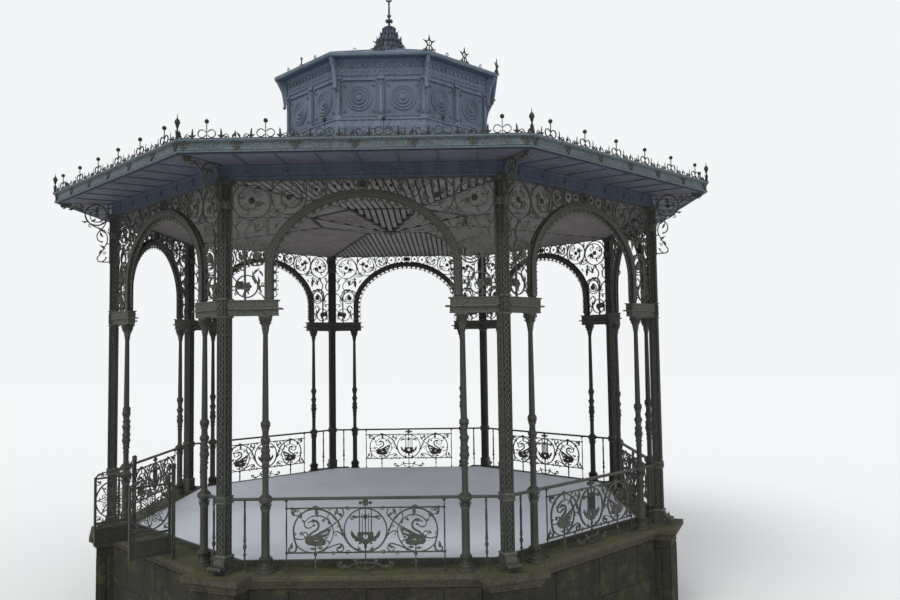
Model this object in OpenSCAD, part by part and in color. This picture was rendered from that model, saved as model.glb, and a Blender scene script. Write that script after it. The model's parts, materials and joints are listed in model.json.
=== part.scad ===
// Octagonal cast-iron bandstand on a stone base, with railings, a pair of gates and a lantern drum.
// The origin is on the ground at the middle of the octagon, the front bay faces -Y and +Z is up.

/* [Base] */
// Height of the stone base, from the ground to the top of the coping
base_h = 1450; // [1000:10:1800]
// Thickness of the base wall
wall_t = 450; // [300:10:600]
// Width of the coping, from its nosing inwards
coping_w = 640; // [580:10:700]
// Height of the moulded coping
coping_h = 190; // [150:5:230]
// How far the coping reaches out past the line of the piers
coping_out = 200; // [180:5:240]
// How far the coping oversails the wall
coping_over = 115; // [90:5:130]
// Width of a corner pedestal
pedestal_w = 660; // [600:10:700]
// How far a pedestal's outer face stands out from the pier's centre
pedestal_out = 200; // [180:10:240]
// How far a pedestal runs back from the pier's centre, behind the wall
pedestal_back = 650; // [600:10:700]
// Height of the raised floor above the coping
floor_step = 72; // [40:2:120]
// How far the floor's edge is set back from the line of the piers
floor_inset = 330; // [300:10:380]
// Thickness of the floor slab
floor_t = 200; // [140:10:220]

/* [Ironwork] */
// Radius of the circle through the centres of the piers
pier_r = 4800; // [4600:50:5200]
// Width of the square shaft of a pier
pier_w = 140; // [120:2:160]
// Space between the arch's crown and the girder
crown_gap = 160; // [130:2:200]
// Distance along a bay from a pier's centre to the slender column
column_off = 540; // [500:5:580]
// Radius of a slender column's lower shaft
column_r = 53; // [46:1:60]
// Height of a slender column, from the coping to the impost beam
column_h = 3325; // [3200:5:3400]
// Height of the impost beams
impost_h = 202; // [160:2:240]
// Depth of the impost beams, from front to back
impost_d = 130; // [110:2:150]
// How far an impost beam runs on past its slender column's centre
impost_over = 164; // [150:2:180]
// Width of the arch's iron, seen from the front
arch_w = 103; // [80:1:120]
// Depth of the arch's iron, from front to back
arch_d = 90; // [70:1:110]
// Depth of the step along the arch's edges
arch_fillet = 15; // [8:1:20]
// How far the arch's iron stands back from the free end of its impost beam
arch_set = 56; // [30:2:70]
// Straight length of an arch's leg, from the impost beam to the springing
arch_leg = 398; // [340:2:440]
// Rise of the arch's centre line above the springing
arch_rise = 998; // [940:2:1020]
// Radius of the arch's haunch, along its centre line
arch_haunch_r = 800; // [720:5:860]
// Height of the girder over the arches
girder_h = 202; // [160:2:240]
// Depth of the girder, from front to back
girder_d = 120; // [100:2:150]
// Width of the flat bars in the scrollwork
bar_w = 16; // [12:1:20]
// Depth of the flat bars in the scrollwork
bar_d = 22; // [16:1:28]

/* [Railings and gates] */
// Height of the handrail's centre above the coping
rail_h = 935; // [880:5:1000]
// Width of the handrail
handrail_w = 52; // [44:1:60]
// Thickness of the handrail
handrail_t = 30; // [24:1:36]
// Height of the panel's upper rail above the coping
upper_rail_h = 812; // [780:2:830]
// Height of the panel's lower rail above the coping
lower_rail_h = 244; // [200:2:260]
// Half the length of a railing panel
panel_half = 1025; // [1000:5:1060]
// Radius of the circle round the lyre, to its centre line
lyre_ring_r = 275; // [262:1:280]
// Radius of the circles round the swans, to their centre line
swan_ring_r = 238; // [220:1:242]
// Distance from the panel's middle to the middle of a swan's circle
swan_off = 650; // [630:5:660]
// Half the clear width between the two hinge axes of the gate
gate_half = 610; // [560:5:640]
// How far the gate's hinge axes stand out from the line of the piers
gate_out = 130; // [120:2:140]
// Height of the gate leaves above the coping at the foot
gate_lift = 65; // [50:1:90]
// Height of a gate leaf, from its foot to its top rail
gate_h = 985; // [900:5:1050]
// Width of the square bars of a gate leaf
gate_bar = 30; // [24:1:32]
// Height of a gate leaf's kick plate
kick_h = 222; // [180:2:260]
// Height of a gate post above the coping
gate_post_h = 1300; // [1200:5:1400]
// Radius of the gate's hinge pins
hinge_r = 8; // [6:0.5:10]

/* [Eaves and roof] */
// How far the fascia stands out from the line of the piers
eave_out = 825; // [780:5:880]
// Height of the fascia
fascia_h = 160; // [130:5:190]
// Number of balls in the cresting over each bay
balls = 6; // [4:1:8]
// How far the soffit falls from the girder to the fascia
soffit_fall = 26; // [0:2:40]
// Thickness of the boarded soffit and ceiling
board_t = 28; // [20:1:36]
// Height of the roof's upper edge above the girder's underside
roof_rise = 1015; // [900:5:1100]
// Thickness of the roof covering
roof_t = 36; // [26:2:50]
// Height that the ceiling rises from the girder to the inner octagon
ceiling_rise = 138; // [80:2:180]
// Depth of the ceiling's inverted pyramid below the inner octagon
ceiling_drop = 215; // [120:5:240]
// Distance from the middle to the flats of the ceiling's inner octagon
ceiling_inner = 1400; // [1200:10:1600]

/* [Lantern drum] */
// Distance from the middle to the flats of the drum's wall
drum_ap = 1792; // [1700:2:1850]
// Thickness of the drum's wall
drum_t = 60; // [40:2:80]
// Height of the drum's base band above the roof
drum_base_h = 560; // [500:5:620]
// Height of the drum's panelled wall
drum_wall_h = 735; // [680:5:800]
// Height of the drum's frieze
drum_frieze_h = 275; // [220:5:300]
// How far the drum's eave stands out from its wall
drum_eave = 217; // [180:1:240]
// Thickness of the drum's eave
drum_eave_t = 68; // [50:2:90]
// Slope of the drum's roof in degrees
drum_slope = 22; // [16:1:26]
// Radius of the finial's bell at its foot
bell_r = 315; // [280:5:340]
// Height of the finial's bell
bell_h = 490; // [440:5:540]
// Height of the finial's stem above the bell
stem_h = 900; // [700:10:1000]

/* [Hidden] */
$fn = 48;
SIDES = 8;
TURN = 360 / SIDES;
HALF = TURN / 2;
// Gap left at the mitres between like pieces round the octagon
mitre_gap = 4;
// Gap between a hinge pin and its knuckle
pin_gap = 0.08;
// Gap between pieces that swing past each other
swing_gap = 7;
// Distance from the middle to the line of the piers, square to a bay
line_ap = pier_r * cos(HALF);
// Half the length of a bay between the centres of its piers
bay_half = pier_r * sin(HALF);
// Gap left where one piece is seated on another
seat = 0.3;
// Levels of the main pieces above the ground
floor_z = base_h + floor_step;
impost_z = base_h + column_h;
spring_z = impost_z + impost_h + arch_leg;
girder_z = spring_z + arch_rise + arch_w / 2 + crown_gap;
// Height of a pier, from the coping to the underside of the girder
pier_h = girder_z - base_h;
soffit_z = girder_z + girder_h;
ceiling_z = girder_z + 8;
eave_z = soffit_z - soffit_fall;
roof_z = girder_z + roof_rise;
// Distances from the middle, square to a bay
coping_ap = line_ap + coping_out;
wall_ap = coping_ap - coping_over;
eave_ap = line_ap + eave_out;
girder_in = line_ap - girder_d / 2;
// The fascia's board is this thick
fascia_t = 26;
// Slope of the roof between the eave and the drum
roof_foot_z = eave_z + fascia_h - 24;
roof_run = eave_ap - fascia_t - drum_ap;
roof_tan = (roof_z - roof_foot_z) / roof_run;
// Place of a slender column along its bay
column_x = bay_half - column_off;
impost_end = column_x - impost_over;
// The arch's centre line stands this far from the bay's middle
arch_half = impost_end + arch_set + arch_w / 2;
arch_crown_r = crown_radius(arch_half, arch_rise, arch_haunch_r);
// Angle from the crown to the joints between the arch's three castings, seen from the crown's centre
arch_joint = 0.69 * atan2(arch_half - arch_haunch_r, arch_crown_r - arch_rise);
// Size of the collar where the handrail meets a column, and of a pier's band there
collar_r = column_r + 36;
collar_h = 76;
band_w = pier_w + 24;
band_h = 90;
// Height of a pier's plinth and of its whole foot, and the plain length left beside each sunk panel
pier_plinth_h = 60;
pier_foot_h = 210;
recess_gap = 50;
// Width and height of a pier's capital
pier_cap_w = pier_w + 46;
pier_cap_h = 70;
// Levels of the drum
drum_base_z = roof_z;
drum_wall_z = drum_base_z + drum_base_h;
drum_frieze_z = drum_wall_z + drum_wall_h;
drum_eave_z = drum_frieze_z + drum_frieze_h;
drum_top_z = drum_eave_z + drum_eave_t;
// The foot of the drum's roof, and the spigot in its middle that the finial's bell covers
drum_foot = drum_ap + drum_eave - 30;
spigot_ap = bell_r / 2;
spigot_z = drum_top_z + (drum_foot - spigot_ap) * tan(drum_slope);

iron = "#474b46";
iron_blue = "#3a4350";
zinc = "#5a686b";
stone = "#5b564a";
pale = "#8f9099";
board = "#6b6262";

// Radius of the crown of a three-centred arch, from its half span, rise and haunch radius
function crown_radius(a, b, r) = ((a - r) * (a - r) + b * b - r * r) / (2 * (b - r));

// Places children in the frame of one bay, with x along the bay and -y outwards
module in_bay(i) rotate([0, 0, TURN * i]) children();

// Repeats children in every bay
module each_bay() for (i = [0 : SIDES - 1]) in_bay(i) children();

// Places children at one corner of the octagon, with -y outwards and the origin on the pier's centre
module at_corner(j) rotate([0, 0, TURN * j + HALF]) translate([0, -pier_r, 0]) children();

// The wedge of plan that belongs to one bay, less the mitre gap
module bay_wedge(z0, z1, gap = mitre_gap) {
    far = pier_r * 2;
    tip = gap / 2 / sin(HALF);
    translate([0, 0, z0])
        linear_extrude(z1 - z0)
            polygon([[0, -tip], [-far * tan(HALF), -tip - far], [far * tan(HALF), -tip - far]]);
}

// Carries a profile of [distance from the middle, level] along one bay and mitres its ends
module mitred(profile, z0, z1, gap = mitre_gap) {
    intersection() {
        rotate([90, 0, 90])
            linear_extrude(pier_r * 2, center = true)
                polygon([for (p = profile) [-p[0], p[1]]]);
        bay_wedge(z0, z1, gap);
    }
}

// The solid of both piers of a bay, grown to the width w, to cut what butts against them
module bay_piers(w, z0, z1) {
    for (s = [-1, 1])
        rotate([0, 0, HALF * s])
            translate([-w / 2, -pier_r - w / 2, z0])
                cube([w, w, z1 - z0]);
}

// A box centred on x and y
module block(w, d, h) translate([-w / 2, -d / 2, 0]) cube([w, d, h]);

// The same angle between -180 and 180 degrees
function wrapped(a) = a - 360 * round(a / 360);

// Angle from the heading at p to the chord from p to q, which is half the turn of the arc between them
function half_turn(p, q, heading) = wrapped(atan2(q[1] - p[1], q[0] - p[0]) - heading);

// A bar along the arc that leaves p at the heading and ends at q, with a round end at q
module arc_bar(p, q, heading, w) {
    half = half_turn(p, q, heading);
    side = sign(half);
    r = norm(q - p) / 2 / sin(abs(half));
    translate(p)
        rotate(heading)
            if (abs(half) < 1)
                rotate(half) translate([0, -w / 2]) square([norm(q - p), w]);
            else
                translate([0, side * r])
                    rotate(side > 0 ? -90 : 90 + 2 * half)
                        intersection() {
                            hoop([0, 0], r, w);
                            wedge(2 * (r + w), 2 * abs(half));
                        }
    disc(q, w / 2 + 1);
}

// The part of the plane within the angle a from the x axis, out to the distance far
module wedge(far, a) {
    steps = ceil(a / 60);
    polygon(concat([[0, 0]], [for (k = [0 : steps]) far * [cos(a * k / steps), sin(a * k / steps)]]));
}

// A scroll: arcs through the points, each tangent to the one before, and an eye of that radius at the end
module scroll(points, heading, w = bar_w, eye = 0, k = 0) {
    if (k < len(points) - 1) {
        arc_bar(points[k], points[k + 1], heading, w);
        scroll(points, heading + 2 * half_turn(points[k], points[k + 1], heading), w, eye, k + 1);
    }
    else if (eye > 0)
        disc(points[k], eye);
}

// Flat shapes that the scrollwork is made of
module disc(p, r) translate(p) circle(r = r);
module hoop(p, r, w = bar_w) translate(p) difference() { circle(r = r + w / 2); circle(r = r - w / 2); }
module strip(x0, z0, x1, z1) translate([x0, z0]) square([x1 - x0, z1 - z0]);
module level_bar(x0, x1, z, w = bar_w) strip(x0, z - w / 2, x1, z + w / 2);
module upright_bar(x, z0, z1, w = bar_w) strip(x - w / 2, z0, x + w / 2, z1);

// Repeats flat children on both sides of the middle
module both_sides()
    for (s = [0, 1])
        mirror([s, 0])
            children();

// Stands flat children upright in the plane of a bay
module stand_up(d = bar_d) rotate([90, 0, 0]) linear_extrude(d, center = true) children();

// Outline of the coping and the pedestal caps as [distance out from the wall, level below the top]
function coping_edge(over, h) = [[over - 14, 0], [over, -14], [over, -58], [over - 14, -72],
    [over - 26, -72], [over - 26, -92], [over - 52, -92], [over - 60, -124], [over - 84, -150],
    [over - 84, -166], [0, -h]];

module base_walls() color(stone)
    each_bay()
        difference() {
            mitred([[wall_ap - wall_t, 0], [wall_ap, 0], [wall_ap, base_h - coping_h - seat],
                [wall_ap - wall_t, base_h - coping_h - seat]], 0, base_h);
            for (s = [-1, 1])
                rotate([0, 0, HALF * s])
                    translate([0, -pier_r, -1])
                        pedestal_plan(base_h, mitre_gap);
        }

// A pedestal's plan, from behind the wall to its outer face
module pedestal_plan(h, grow = 0) {
    translate([-pedestal_w / 2 - grow, -pedestal_out - grow, 0])
        cube([pedestal_w + 2 * grow, pedestal_back + pedestal_out + 2 * grow, h]);
}

module base_pedestals() color(stone)
    for (j = [0 : SIDES - 1])
        at_corner(j)
            pedestal_plan(base_h - coping_h - seat);

// One pedestal cap with the coping's moulding on its three outer sides
module cap_solid(grow = 0) {
    e = coping_edge(coping_over, coping_h);
    back = pedestal_back;
    for (k = [0 : len(e) - 2]) {
        out = max(e[k][0], e[k + 1][0]);
        low = e[k + 1][1];
        if (e[k][1] > low)
            translate([-pedestal_w / 2 - out - grow, -pedestal_out - out - grow, base_h + low - grow])
                cube([pedestal_w + 2 * (out + grow), back + pedestal_out + out + 2 * grow,
                    e[k][1] - low + 2 * grow]);
    }
}

module pedestal_caps() color(stone)
    for (j = [0 : SIDES - 1])
        at_corner(j)
            cap_solid();

module coping() color(stone)
    each_bay()
        difference() {
            mitred(concat([[coping_ap - coping_w, base_h - coping_h], [coping_ap - coping_w, base_h]],
                [for (p = coping_edge(coping_over, coping_h)) [wall_ap + p[0], base_h + p[1]]]),
                0, base_h + 1);
            for (s = [-1, 1])
                rotate([0, 0, HALF * s])
                    translate([0, -pier_r, 0])
                        cap_solid(mitre_gap);
        }

module floor_slab() color(pale) {
    edge = line_ap - floor_inset;
    inner = min(coping_ap - coping_w, (pier_r - pedestal_back) * cos(HALF)) - mitre_gap;
    translate([0, 0, base_h + seat])
        rotate([0, 0, HALF])
            cylinder(r = edge / cos(HALF), h = floor_step - seat, $fn = SIDES);
    translate([0, 0, floor_z - floor_t])
        rotate([0, 0, HALF])
            cylinder(r = inner / cos(HALF), h = floor_t - floor_step + seat, $fn = SIDES);
}

// One pier: plinth, panelled shaft, band at the handrail, capital and scrolled foot
module pier() color(iron) {
    plinth_w = pier_w + 70;
    foot_w = pier_w + 36;
    translate([0, 0, base_h]) {
        block(plinth_w, plinth_w, pier_plinth_h);
        translate([0, 0, pier_plinth_h]) block(foot_w, foot_w, pier_foot_h - pier_plinth_h);
        difference() {
            translate([0, 0, pier_foot_h]) block(pier_w, pier_w, pier_h - pier_foot_h - seat);
            for (a = [0 : 90 : 270])
                rotate([0, 0, a]) {
                    pier_recess(pier_foot_h + recess_gap, rail_h - band_h / 2 - recess_gap);
                    pier_recess(rail_h + band_h / 2 + recess_gap, column_h - recess_gap);
                    pier_recess(column_h + impost_h + recess_gap, pier_h - pier_cap_h - 4 * recess_gap);
                }
        }
        translate([0, 0, rail_h - band_h / 2]) block(band_w, band_w, band_h);
        translate([0, 0, pier_h - pier_cap_h]) block(pier_cap_w, pier_cap_w, pier_cap_h - seat);
        pier_scroll(foot_w);
    }
}

// The sunk panel on one face of a pier
module pier_recess(z0, z1) {
    sunk = 7;
    margin = 22;
    translate([-pier_w / 2 + margin, -pier_w / 2 - 1, z0]) cube([pier_w - 2 * margin, sunk + 1, z1 - z0]);
}

// The scroll that flares out at the foot of a pier's outer face
module pier_scroll(w) {
    reach = 96;
    roll = 26;
    difference() {
        translate([-w / 2 + 8, -w / 2 - reach, pier_plinth_h])
            cube([w - 16, reach, pier_foot_h - pier_plinth_h]);
        translate([-w, -w / 2 - reach, pier_foot_h])
            rotate([0, 90, 0])
                cylinder(r = reach, h = 2 * w);
    }
    translate([-w / 2, -w / 2 - reach, pier_plinth_h + roll])
        rotate([0, 90, 0])
            cylinder(r = roll, h = w);
}

// Outline of a slender column as [radius, height], from plinth to capital, with its knop at the level m
function column_profile(r, h, m) = concat(
    [[0, 0], [r + 60, 0], [r + 60, 26], [r + 44, 40], [r + 44, 64], [r + 26, 84], [r + 26, 170],
        [r + 30, 176], [r + 30, 190], [r + 18, 200], [r + 6, 206], [r + 6, 220], [r, 226]],
    [for (p = [[0, -60], [14, -52], [14, -40], [28, -38], [36, -20], [36, 20], [20, 38], [6, 50],
        [-12, 60]]) [r + p[0], rail_h + p[1]]],
    [for (p = [[-12, -200], [0, -188], [10, -170], [10, -156], [-14, -140], [-8, -100], [12, -40],
        [16, 0], [4, 50], [-16, 76], [8, 90], [8, 106], [-18, 124], [-10, 180], [2, 240], [-2, 300],
        [-20, 350], [-2, 370], [-2, 394], [-18, 410]]) [r + p[0], m + p[1]]],
    [for (p = [[-20, 245], [-12, 235], [-12, 221], [-22, 213], [-20, 175], [-8, 125], [20, 85],
        [34, 63], [34, 35], [40, 29], [40, 0]]) [r + p[0], h - p[1]]],
    [[0, h]]);

module column() {
    rotate_extrude() polygon(column_profile(column_r, column_h, (rail_h + column_h) * 0.385));
}

module slender_columns() color(iron)
    each_bay()
        for (s = [-1, 1])
            translate([s * column_x, -line_ap, base_h])
                column();

// The area under the arch's centre line, grown by t, with the springing at z = 0
module arch_area(t, leg) {
    far = arch_half * 3;
    c1 = arch_half - arch_haunch_r;
    c2 = arch_rise - arch_crown_r;
    intersection() {
        translate([-far / 2, -leg]) square([far, far]);
        union() {
            intersection() {
                translate([0, c2]) circle(r = arch_crown_r + t, $fn = 96);
                polygon([[0, c2], [c1 * 9, c2 * (1 - 9)], [-c1 * 9, c2 * (1 - 9)]]);
            }
            for (s = [-1, 1])
                translate([s * c1, 0]) circle(r = arch_haunch_r + t, $fn = 96);
            translate([-arch_half - t, -leg]) square([2 * (arch_half + t), leg]);
        }
    }
}

// The band between two lines that run beside the arch's centre line
module arch_band(inner, outer, leg = arch_leg) {
    difference() {
        arch_area(outer, leg);
        arch_area(inner, leg + 1);
    }
}

// One impost beam, from a pier's centre to past its slender column, as a grooved double fascia
module impost(s) {
    groove_z = 80;
    groove_h = 16;
    impost_band(s, 0, 0, groove_z, 10);
    impost_band(s, 24, groove_z, groove_h, 22);
    impost_band(s, 6, groove_z + groove_h, impost_h - groove_z - groove_h, 0);
}

// One band of an impost beam at the level z, set back by end at its free end and by face on both faces
module impost_band(s, end, z, h, face) {
    x0 = impost_end + end;
    translate([s > 0 ? x0 : -bay_half, -impost_d / 2 + face, z])
        cube([bay_half - x0, impost_d - 2 * face, h]);
}

// Arch, impost beams and the rosette over the crown, in one bay: a casting for each side and one for
// the crown
module bay_arch() color(iron) {
    rosette_z = arch_rise + (arch_w + crown_gap) / 2;
    difference() {
        translate([0, -line_ap, 0]) {
            intersection() {
                for (s = [-1, 1])
                    translate([0, 0, impost_z]) impost(s);
                translate([0, line_ap, 0]) bay_wedge(impost_z, impost_z + impost_h);
            }
            translate([0, 0, spring_z]) {
                stand_up(arch_d) arch_band(-arch_w / 2 + arch_fillet, arch_w / 2 - arch_fillet);
                stand_up(arch_d - 2 * arch_fillet) arch_band(-arch_w / 2, arch_w / 2);
                stand_up() {
                    hoop([0, rosette_z], crown_gap / 2 - bar_w / 4);
                    disc([0, rosette_z], crown_gap / 6);
                    upright_bar(0, arch_rise, girder_z - spring_z - seat);
                    level_bar(-crown_gap / 2, crown_gap / 2, rosette_z, bar_w * 0.8);
                }
            }
        }
        bay_piers(pier_w + 2 * seat, 0, girder_z + girder_h);
        bay_piers(pier_cap_w + 2 * seat, girder_z - pier_cap_h - seat, girder_z);
        translate([0, 0, girder_z - seat]) block(pier_r * 3, pier_r * 3, girder_h);
        for (s = [-1, 1])
            translate([0, -line_ap, spring_z + arch_rise - arch_crown_r])
                rotate([0, s * arch_joint, 0])
                    translate([0, 0, arch_crown_r - arch_w]) block(2 * seat, 2 * arch_d, 2 * arch_w);
    }
}

// Scrollwork between the arch, the piers and the girder: one casting on each side of the crown
module bay_spandrels() color(iron)
    difference() {
        translate([0, -line_ap, spring_z])
            stand_up()
                both_sides()
                    intersection() {
                        spandrel_field();
                        spandrel_scrolls();
                    }
        bay_piers(pier_w + 2 * seat, 0, girder_z + girder_h);
        bay_piers(pier_cap_w + 2 * seat, girder_z - pier_cap_h - seat, girder_z);
    }

// The side of a pier, seen square to the bay, and the level of the girder over the springing
pier_side = bay_half - pier_w / 2 / cos(HALF);
girder_up = girder_z - spring_z;

// The space that one casting fills
module spandrel_field()
    difference() {
        strip(crown_gap / 2 + bar_w / 2, -arch_leg + seat, pier_side, girder_up - seat);
        arch_area(arch_w / 2 + seat, arch_leg + 1);
    }

// A volute of two shrinking half turns from the angle a, anticlockwise for side = 1
module volute(p, r, a, side = 1, w = bar_w)
    scroll([for (k = [0 : 2]) p + r * (1 - 0.3 * k) * [cos(a + 180 * k), sin(a + 180 * k)]],
        a + 90 * side, w, r * 0.17);

// A ring with a volute in it
module curled_ring(p, r, a, side = 1) {
    hoop(p, r - bar_w / 4);
    volute(p, r - bar_w / 4, a, side, bar_w - 2);
}

// Middle of the ring at the distance x that touches both the crown's arc and the girder
function crown_ring(x) = let (sum = arch_crown_r + arch_w / 2 + girder_up - arch_rise + arch_crown_r)
    [x, (sum * sum - x * x) / 2 / sum + arch_rise - arch_crown_r];

// Points of the spandrel, inwards from the pier and down from the girder, or up from the impost beam
function from_top(x, z) = [pier_side - x, girder_up - z];
function from_foot(x, z) = [pier_side - x, z - arch_leg];

// One spandrel's frame, its chain of rings along the arch and the stem that stands on the impost beam
module spandrel_scrolls() {
    corner_r = 262;
    leg_side = pier_side - arch_half - arch_w / 2;
    arch_band(arch_w / 2 - 1, arch_w / 2 + bar_w);
    level_bar(0, pier_side, girder_up - bar_w / 2);
    upright_bar(pier_side - bar_w / 2 - 4, -arch_leg, girder_up, bar_w + 8);
    curled_ring(from_top(corner_r + 18, corner_r + 18), corner_r, 205, -1);
    for (share = [0.794, 0.5, 0.302, 0.153]) {
        p = crown_ring(arch_half * share);
        if (share > 0.4)
            curled_ring(p, girder_up - p[1], 30, 1);
        else
            hoop(p, girder_up - p[1] - bar_w / 4);
    }
    scroll([from_top(0, 560), from_top(100, 700), from_top(0, 840)], 220);
    scroll([from_top(300, 536), from_top(215, 660), from_foot(352, 786)], -60, bar_w, 26);
    scroll([from_top(470, 466), from_top(560, 500), from_top(560, 400), from_top(520, 430)], 200, bar_w - 3,
        18);
    scroll([from_foot(196, 0), from_foot(190, 480), from_foot(172, 640), from_foot(352, 786),
        from_foot(560, 700)],
        90, bar_w * 1.6);
    scroll([from_foot(182, 540), from_foot(70, 690), from_foot(0, 560)], 60);
    curled_ring(from_foot(leg_side - 128, 600), 146, 90, 1);
    disc(from_foot(leg_side - 118, 590), 56);
    hoop(from_foot(217, 185), 146);
    disc(from_foot(208, 185), 50);
    level_bar(pier_side - leg_side - 10, pier_side - 355, -arch_leg + 185);
    level_bar(pier_side - 80, pier_side, -arch_leg + 185);
    scroll([from_foot(86, 246), from_foot(20, 330), from_foot(60, 440), from_foot(100, 390)], 50, bar_w - 3,
        16);
    scroll([from_foot(100, 96), from_foot(56, 136), from_foot(0, 76)], 60, bar_w - 3);
    scroll([from_foot(leg_side - 100, 100), from_foot(leg_side - 30, 40), from_foot(leg_side, 130)], 200,
        bar_w - 3);
}

module arch_front() in_bay(0) bay_arch();
module arch_front_right() in_bay(1) bay_arch();
module arch_right() in_bay(2) bay_arch();
module arch_back_right() in_bay(3) bay_arch();
module arch_back() in_bay(4) bay_arch();
module arch_back_left() in_bay(5) bay_arch();
module arch_left() in_bay(6) bay_arch();
module arch_gate() in_bay(7) bay_arch();
module spandrels_front() in_bay(0) bay_spandrels();
module spandrels_front_right() in_bay(1) bay_spandrels();
module spandrels_right() in_bay(2) bay_spandrels();
module spandrels_back_right() in_bay(3) bay_spandrels();
module spandrels_back() in_bay(4) bay_spandrels();
module spandrels_back_left() in_bay(5) bay_spandrels();
module spandrels_left() in_bay(6) bay_spandrels();
module spandrels_gate() in_bay(7) bay_spandrels();

// A straight bar along the bay at the level z, from x0 to x1
module bar_x(x0, x1, z, w, d) translate([x0, -d / 2, z - w / 2]) cube([x1 - x0, d, w]);

// A turned baluster as [radius, height] between the coping and the handrail
function baluster_profile(h) = [[0, 0], [24, 0], [24, 10], [14, 22], [10, 40], [10, 214], [20, 222],
    [20, 236], [10, 246], [12, 300], [24, 326], [24, 338], [12, 356], [9, 400], [13, 600], [15, 700],
    [9, h - 60], [16, h - 50], [16, h - 40], [9, h - 32], [9, h], [0, h]];

module baluster() rotate_extrude($fn = 24) polygon(baluster_profile(rail_h - handrail_t / 2));

// The handrail from a pier to its slender column, with its baluster
module railing_end(s) {
    x0 = s > 0 ? column_x : -bay_half;
    bar_x(x0, x0 + column_off, rail_h, handrail_t, handrail_w);
    translate([s * (column_x + column_off / 2), 0, 0]) baluster();
}

// Middle level between the panel's rails
rail_mid = (upper_rail_h + lower_rail_h) / 2;

// Points of the panel's scrollwork, drawn for a lyre's ring of 275, a swan's ring of 238 and a lower rail
// 244 above the coping
function by_lyre(x, z) = [x, z] * lyre_ring_r / 275 + [0, rail_mid];
function by_swan(x, z) = [x, z] * swan_ring_r / 238 + [swan_off, rail_mid];
function by_foot(x, z) = [x, z * lower_rail_h / 244];

// The panel between the two slender columns
module railing_panel() {
    bar_x(-column_x, column_x, rail_h, handrail_t, handrail_w);
    for (s = [-1, 1])
        translate([s * panel_half, 0, 0]) panel_post();
    translate([0, 0, by_lyre(0, -232)[1]]) lyre_knop();
    stand_up() {
        level_bar(-panel_half, panel_half, upper_rail_h);
        level_bar(-panel_half, panel_half, lower_rail_h);
        lyre();
        both_sides() {
            upright_bar(swan_off, 0, by_swan(0, -180)[1]);
            upright_bar(swan_off, rail_mid + swan_ring_r + 20, upper_rail_h + 34);
            great_scroll();
            swan();
            tendrils();
            half_foot();
        }
    }
}

// A turned post at the end of a panel, between the coping and the handrail
module panel_post() {
    top = rail_h - handrail_t / 2;
    rotate_extrude($fn = 24)
        polygon([[0, 0], [20, 0], [22, 20], [14, 50], [8, 66], [8, lower_rail_h - 24],
            [17, lower_rail_h - 8], [17, lower_rail_h + 12], [8, lower_rail_h + 26], [11, rail_mid],
            [8, upper_rail_h - 24], [16, upper_rail_h - 8], [16, upper_rail_h + 8],
            [8, upper_rail_h + 22], [8, top - 34], [24, top - 6], [24, top], [0, top]]);
}

// The turned knop on the lyre's stem
module lyre_knop() rotate_extrude($fn = 24)
    polygon([[0, 0], [12, 0], [22, 12], [12, 24], [14, 40], [26, 52], [12, 66], [0, 66]]);

// The band that leaves the lyre's ring, runs over the swan and ends in a curl at the panel's lower corner,
// and the inner band that runs round the swan and ends behind its head
module great_scroll() {
    scroll([by_lyre(60, -272), by_lyre(240, -143), by_swan(-328, 32), by_swan(-2, 275), by_swan(283, -10),
        by_swan(248, -183), by_swan(295, -281), by_swan(342, -238), by_swan(308, -213)], 14, bar_w + 4, 17);
    scroll([by_swan(248, -178), by_swan(0, -281), by_swan(-232, -46), by_swan(-30, 189), by_swan(132, 112),
        by_swan(70, 35), by_swan(18, 68)], -128, bar_w - 4, 14);
}

// A swan that faces outwards inside its ring: neck, head, beak, belly, body and feathers
module swan() {
    scroll([by_swan(30, 124), by_swan(-40, 82), by_swan(0, -6), by_swan(118, -128)], 170, bar_w * 1.6);
    disc(by_swan(32, 120), bar_w * 1.4);
    scroll([by_swan(40, 122), by_swan(90, 98)], -15, bar_w * 0.7);
    scroll([by_swan(125, -128), by_swan(-115, -163)], -140, bar_w * 2.4);
    disc(by_swan(60, -120), bar_w * 3.2);
    for (k = [0 : 2])
        scroll([by_swan(42 + k * 8, -82 - k * 34), by_swan(-158 + k * 26, 6 - k * 66)], 158 + k * 14,
            bar_w * 1.9);
}

// Curls between the rings and the rails
module tendrils() {
    thin = bar_w - 5;
    scroll([by_swan(-344, 284), by_swan(-368, 217), by_swan(-350, 172), by_swan(-177, 35),
        by_swan(-50, -28)],
        -130, bar_w - 2);
    scroll([by_swan(-190, 217), by_swan(-180, 127)], -30, thin);
    scroll([by_swan(205, 194), by_swan(300, 217), by_swan(280, 272), by_swan(255, 247)], -15, thin, 13);
    scroll([by_swan(-80, -266), by_swan(-300, -176), by_swan(-365, -228), by_swan(-320, -276),
        by_swan(-278, -238), by_swan(-312, -223)], 150, bar_w - 3, 15);
    scroll([by_swan(275, -88), by_swan(115, -88), by_swan(140, -23), by_swan(162, -53)], 215, thin, 10);
    scroll([by_swan(-358, -73), by_swan(-300, -22), by_swan(-231, -48)], 55, thin);
}

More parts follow.
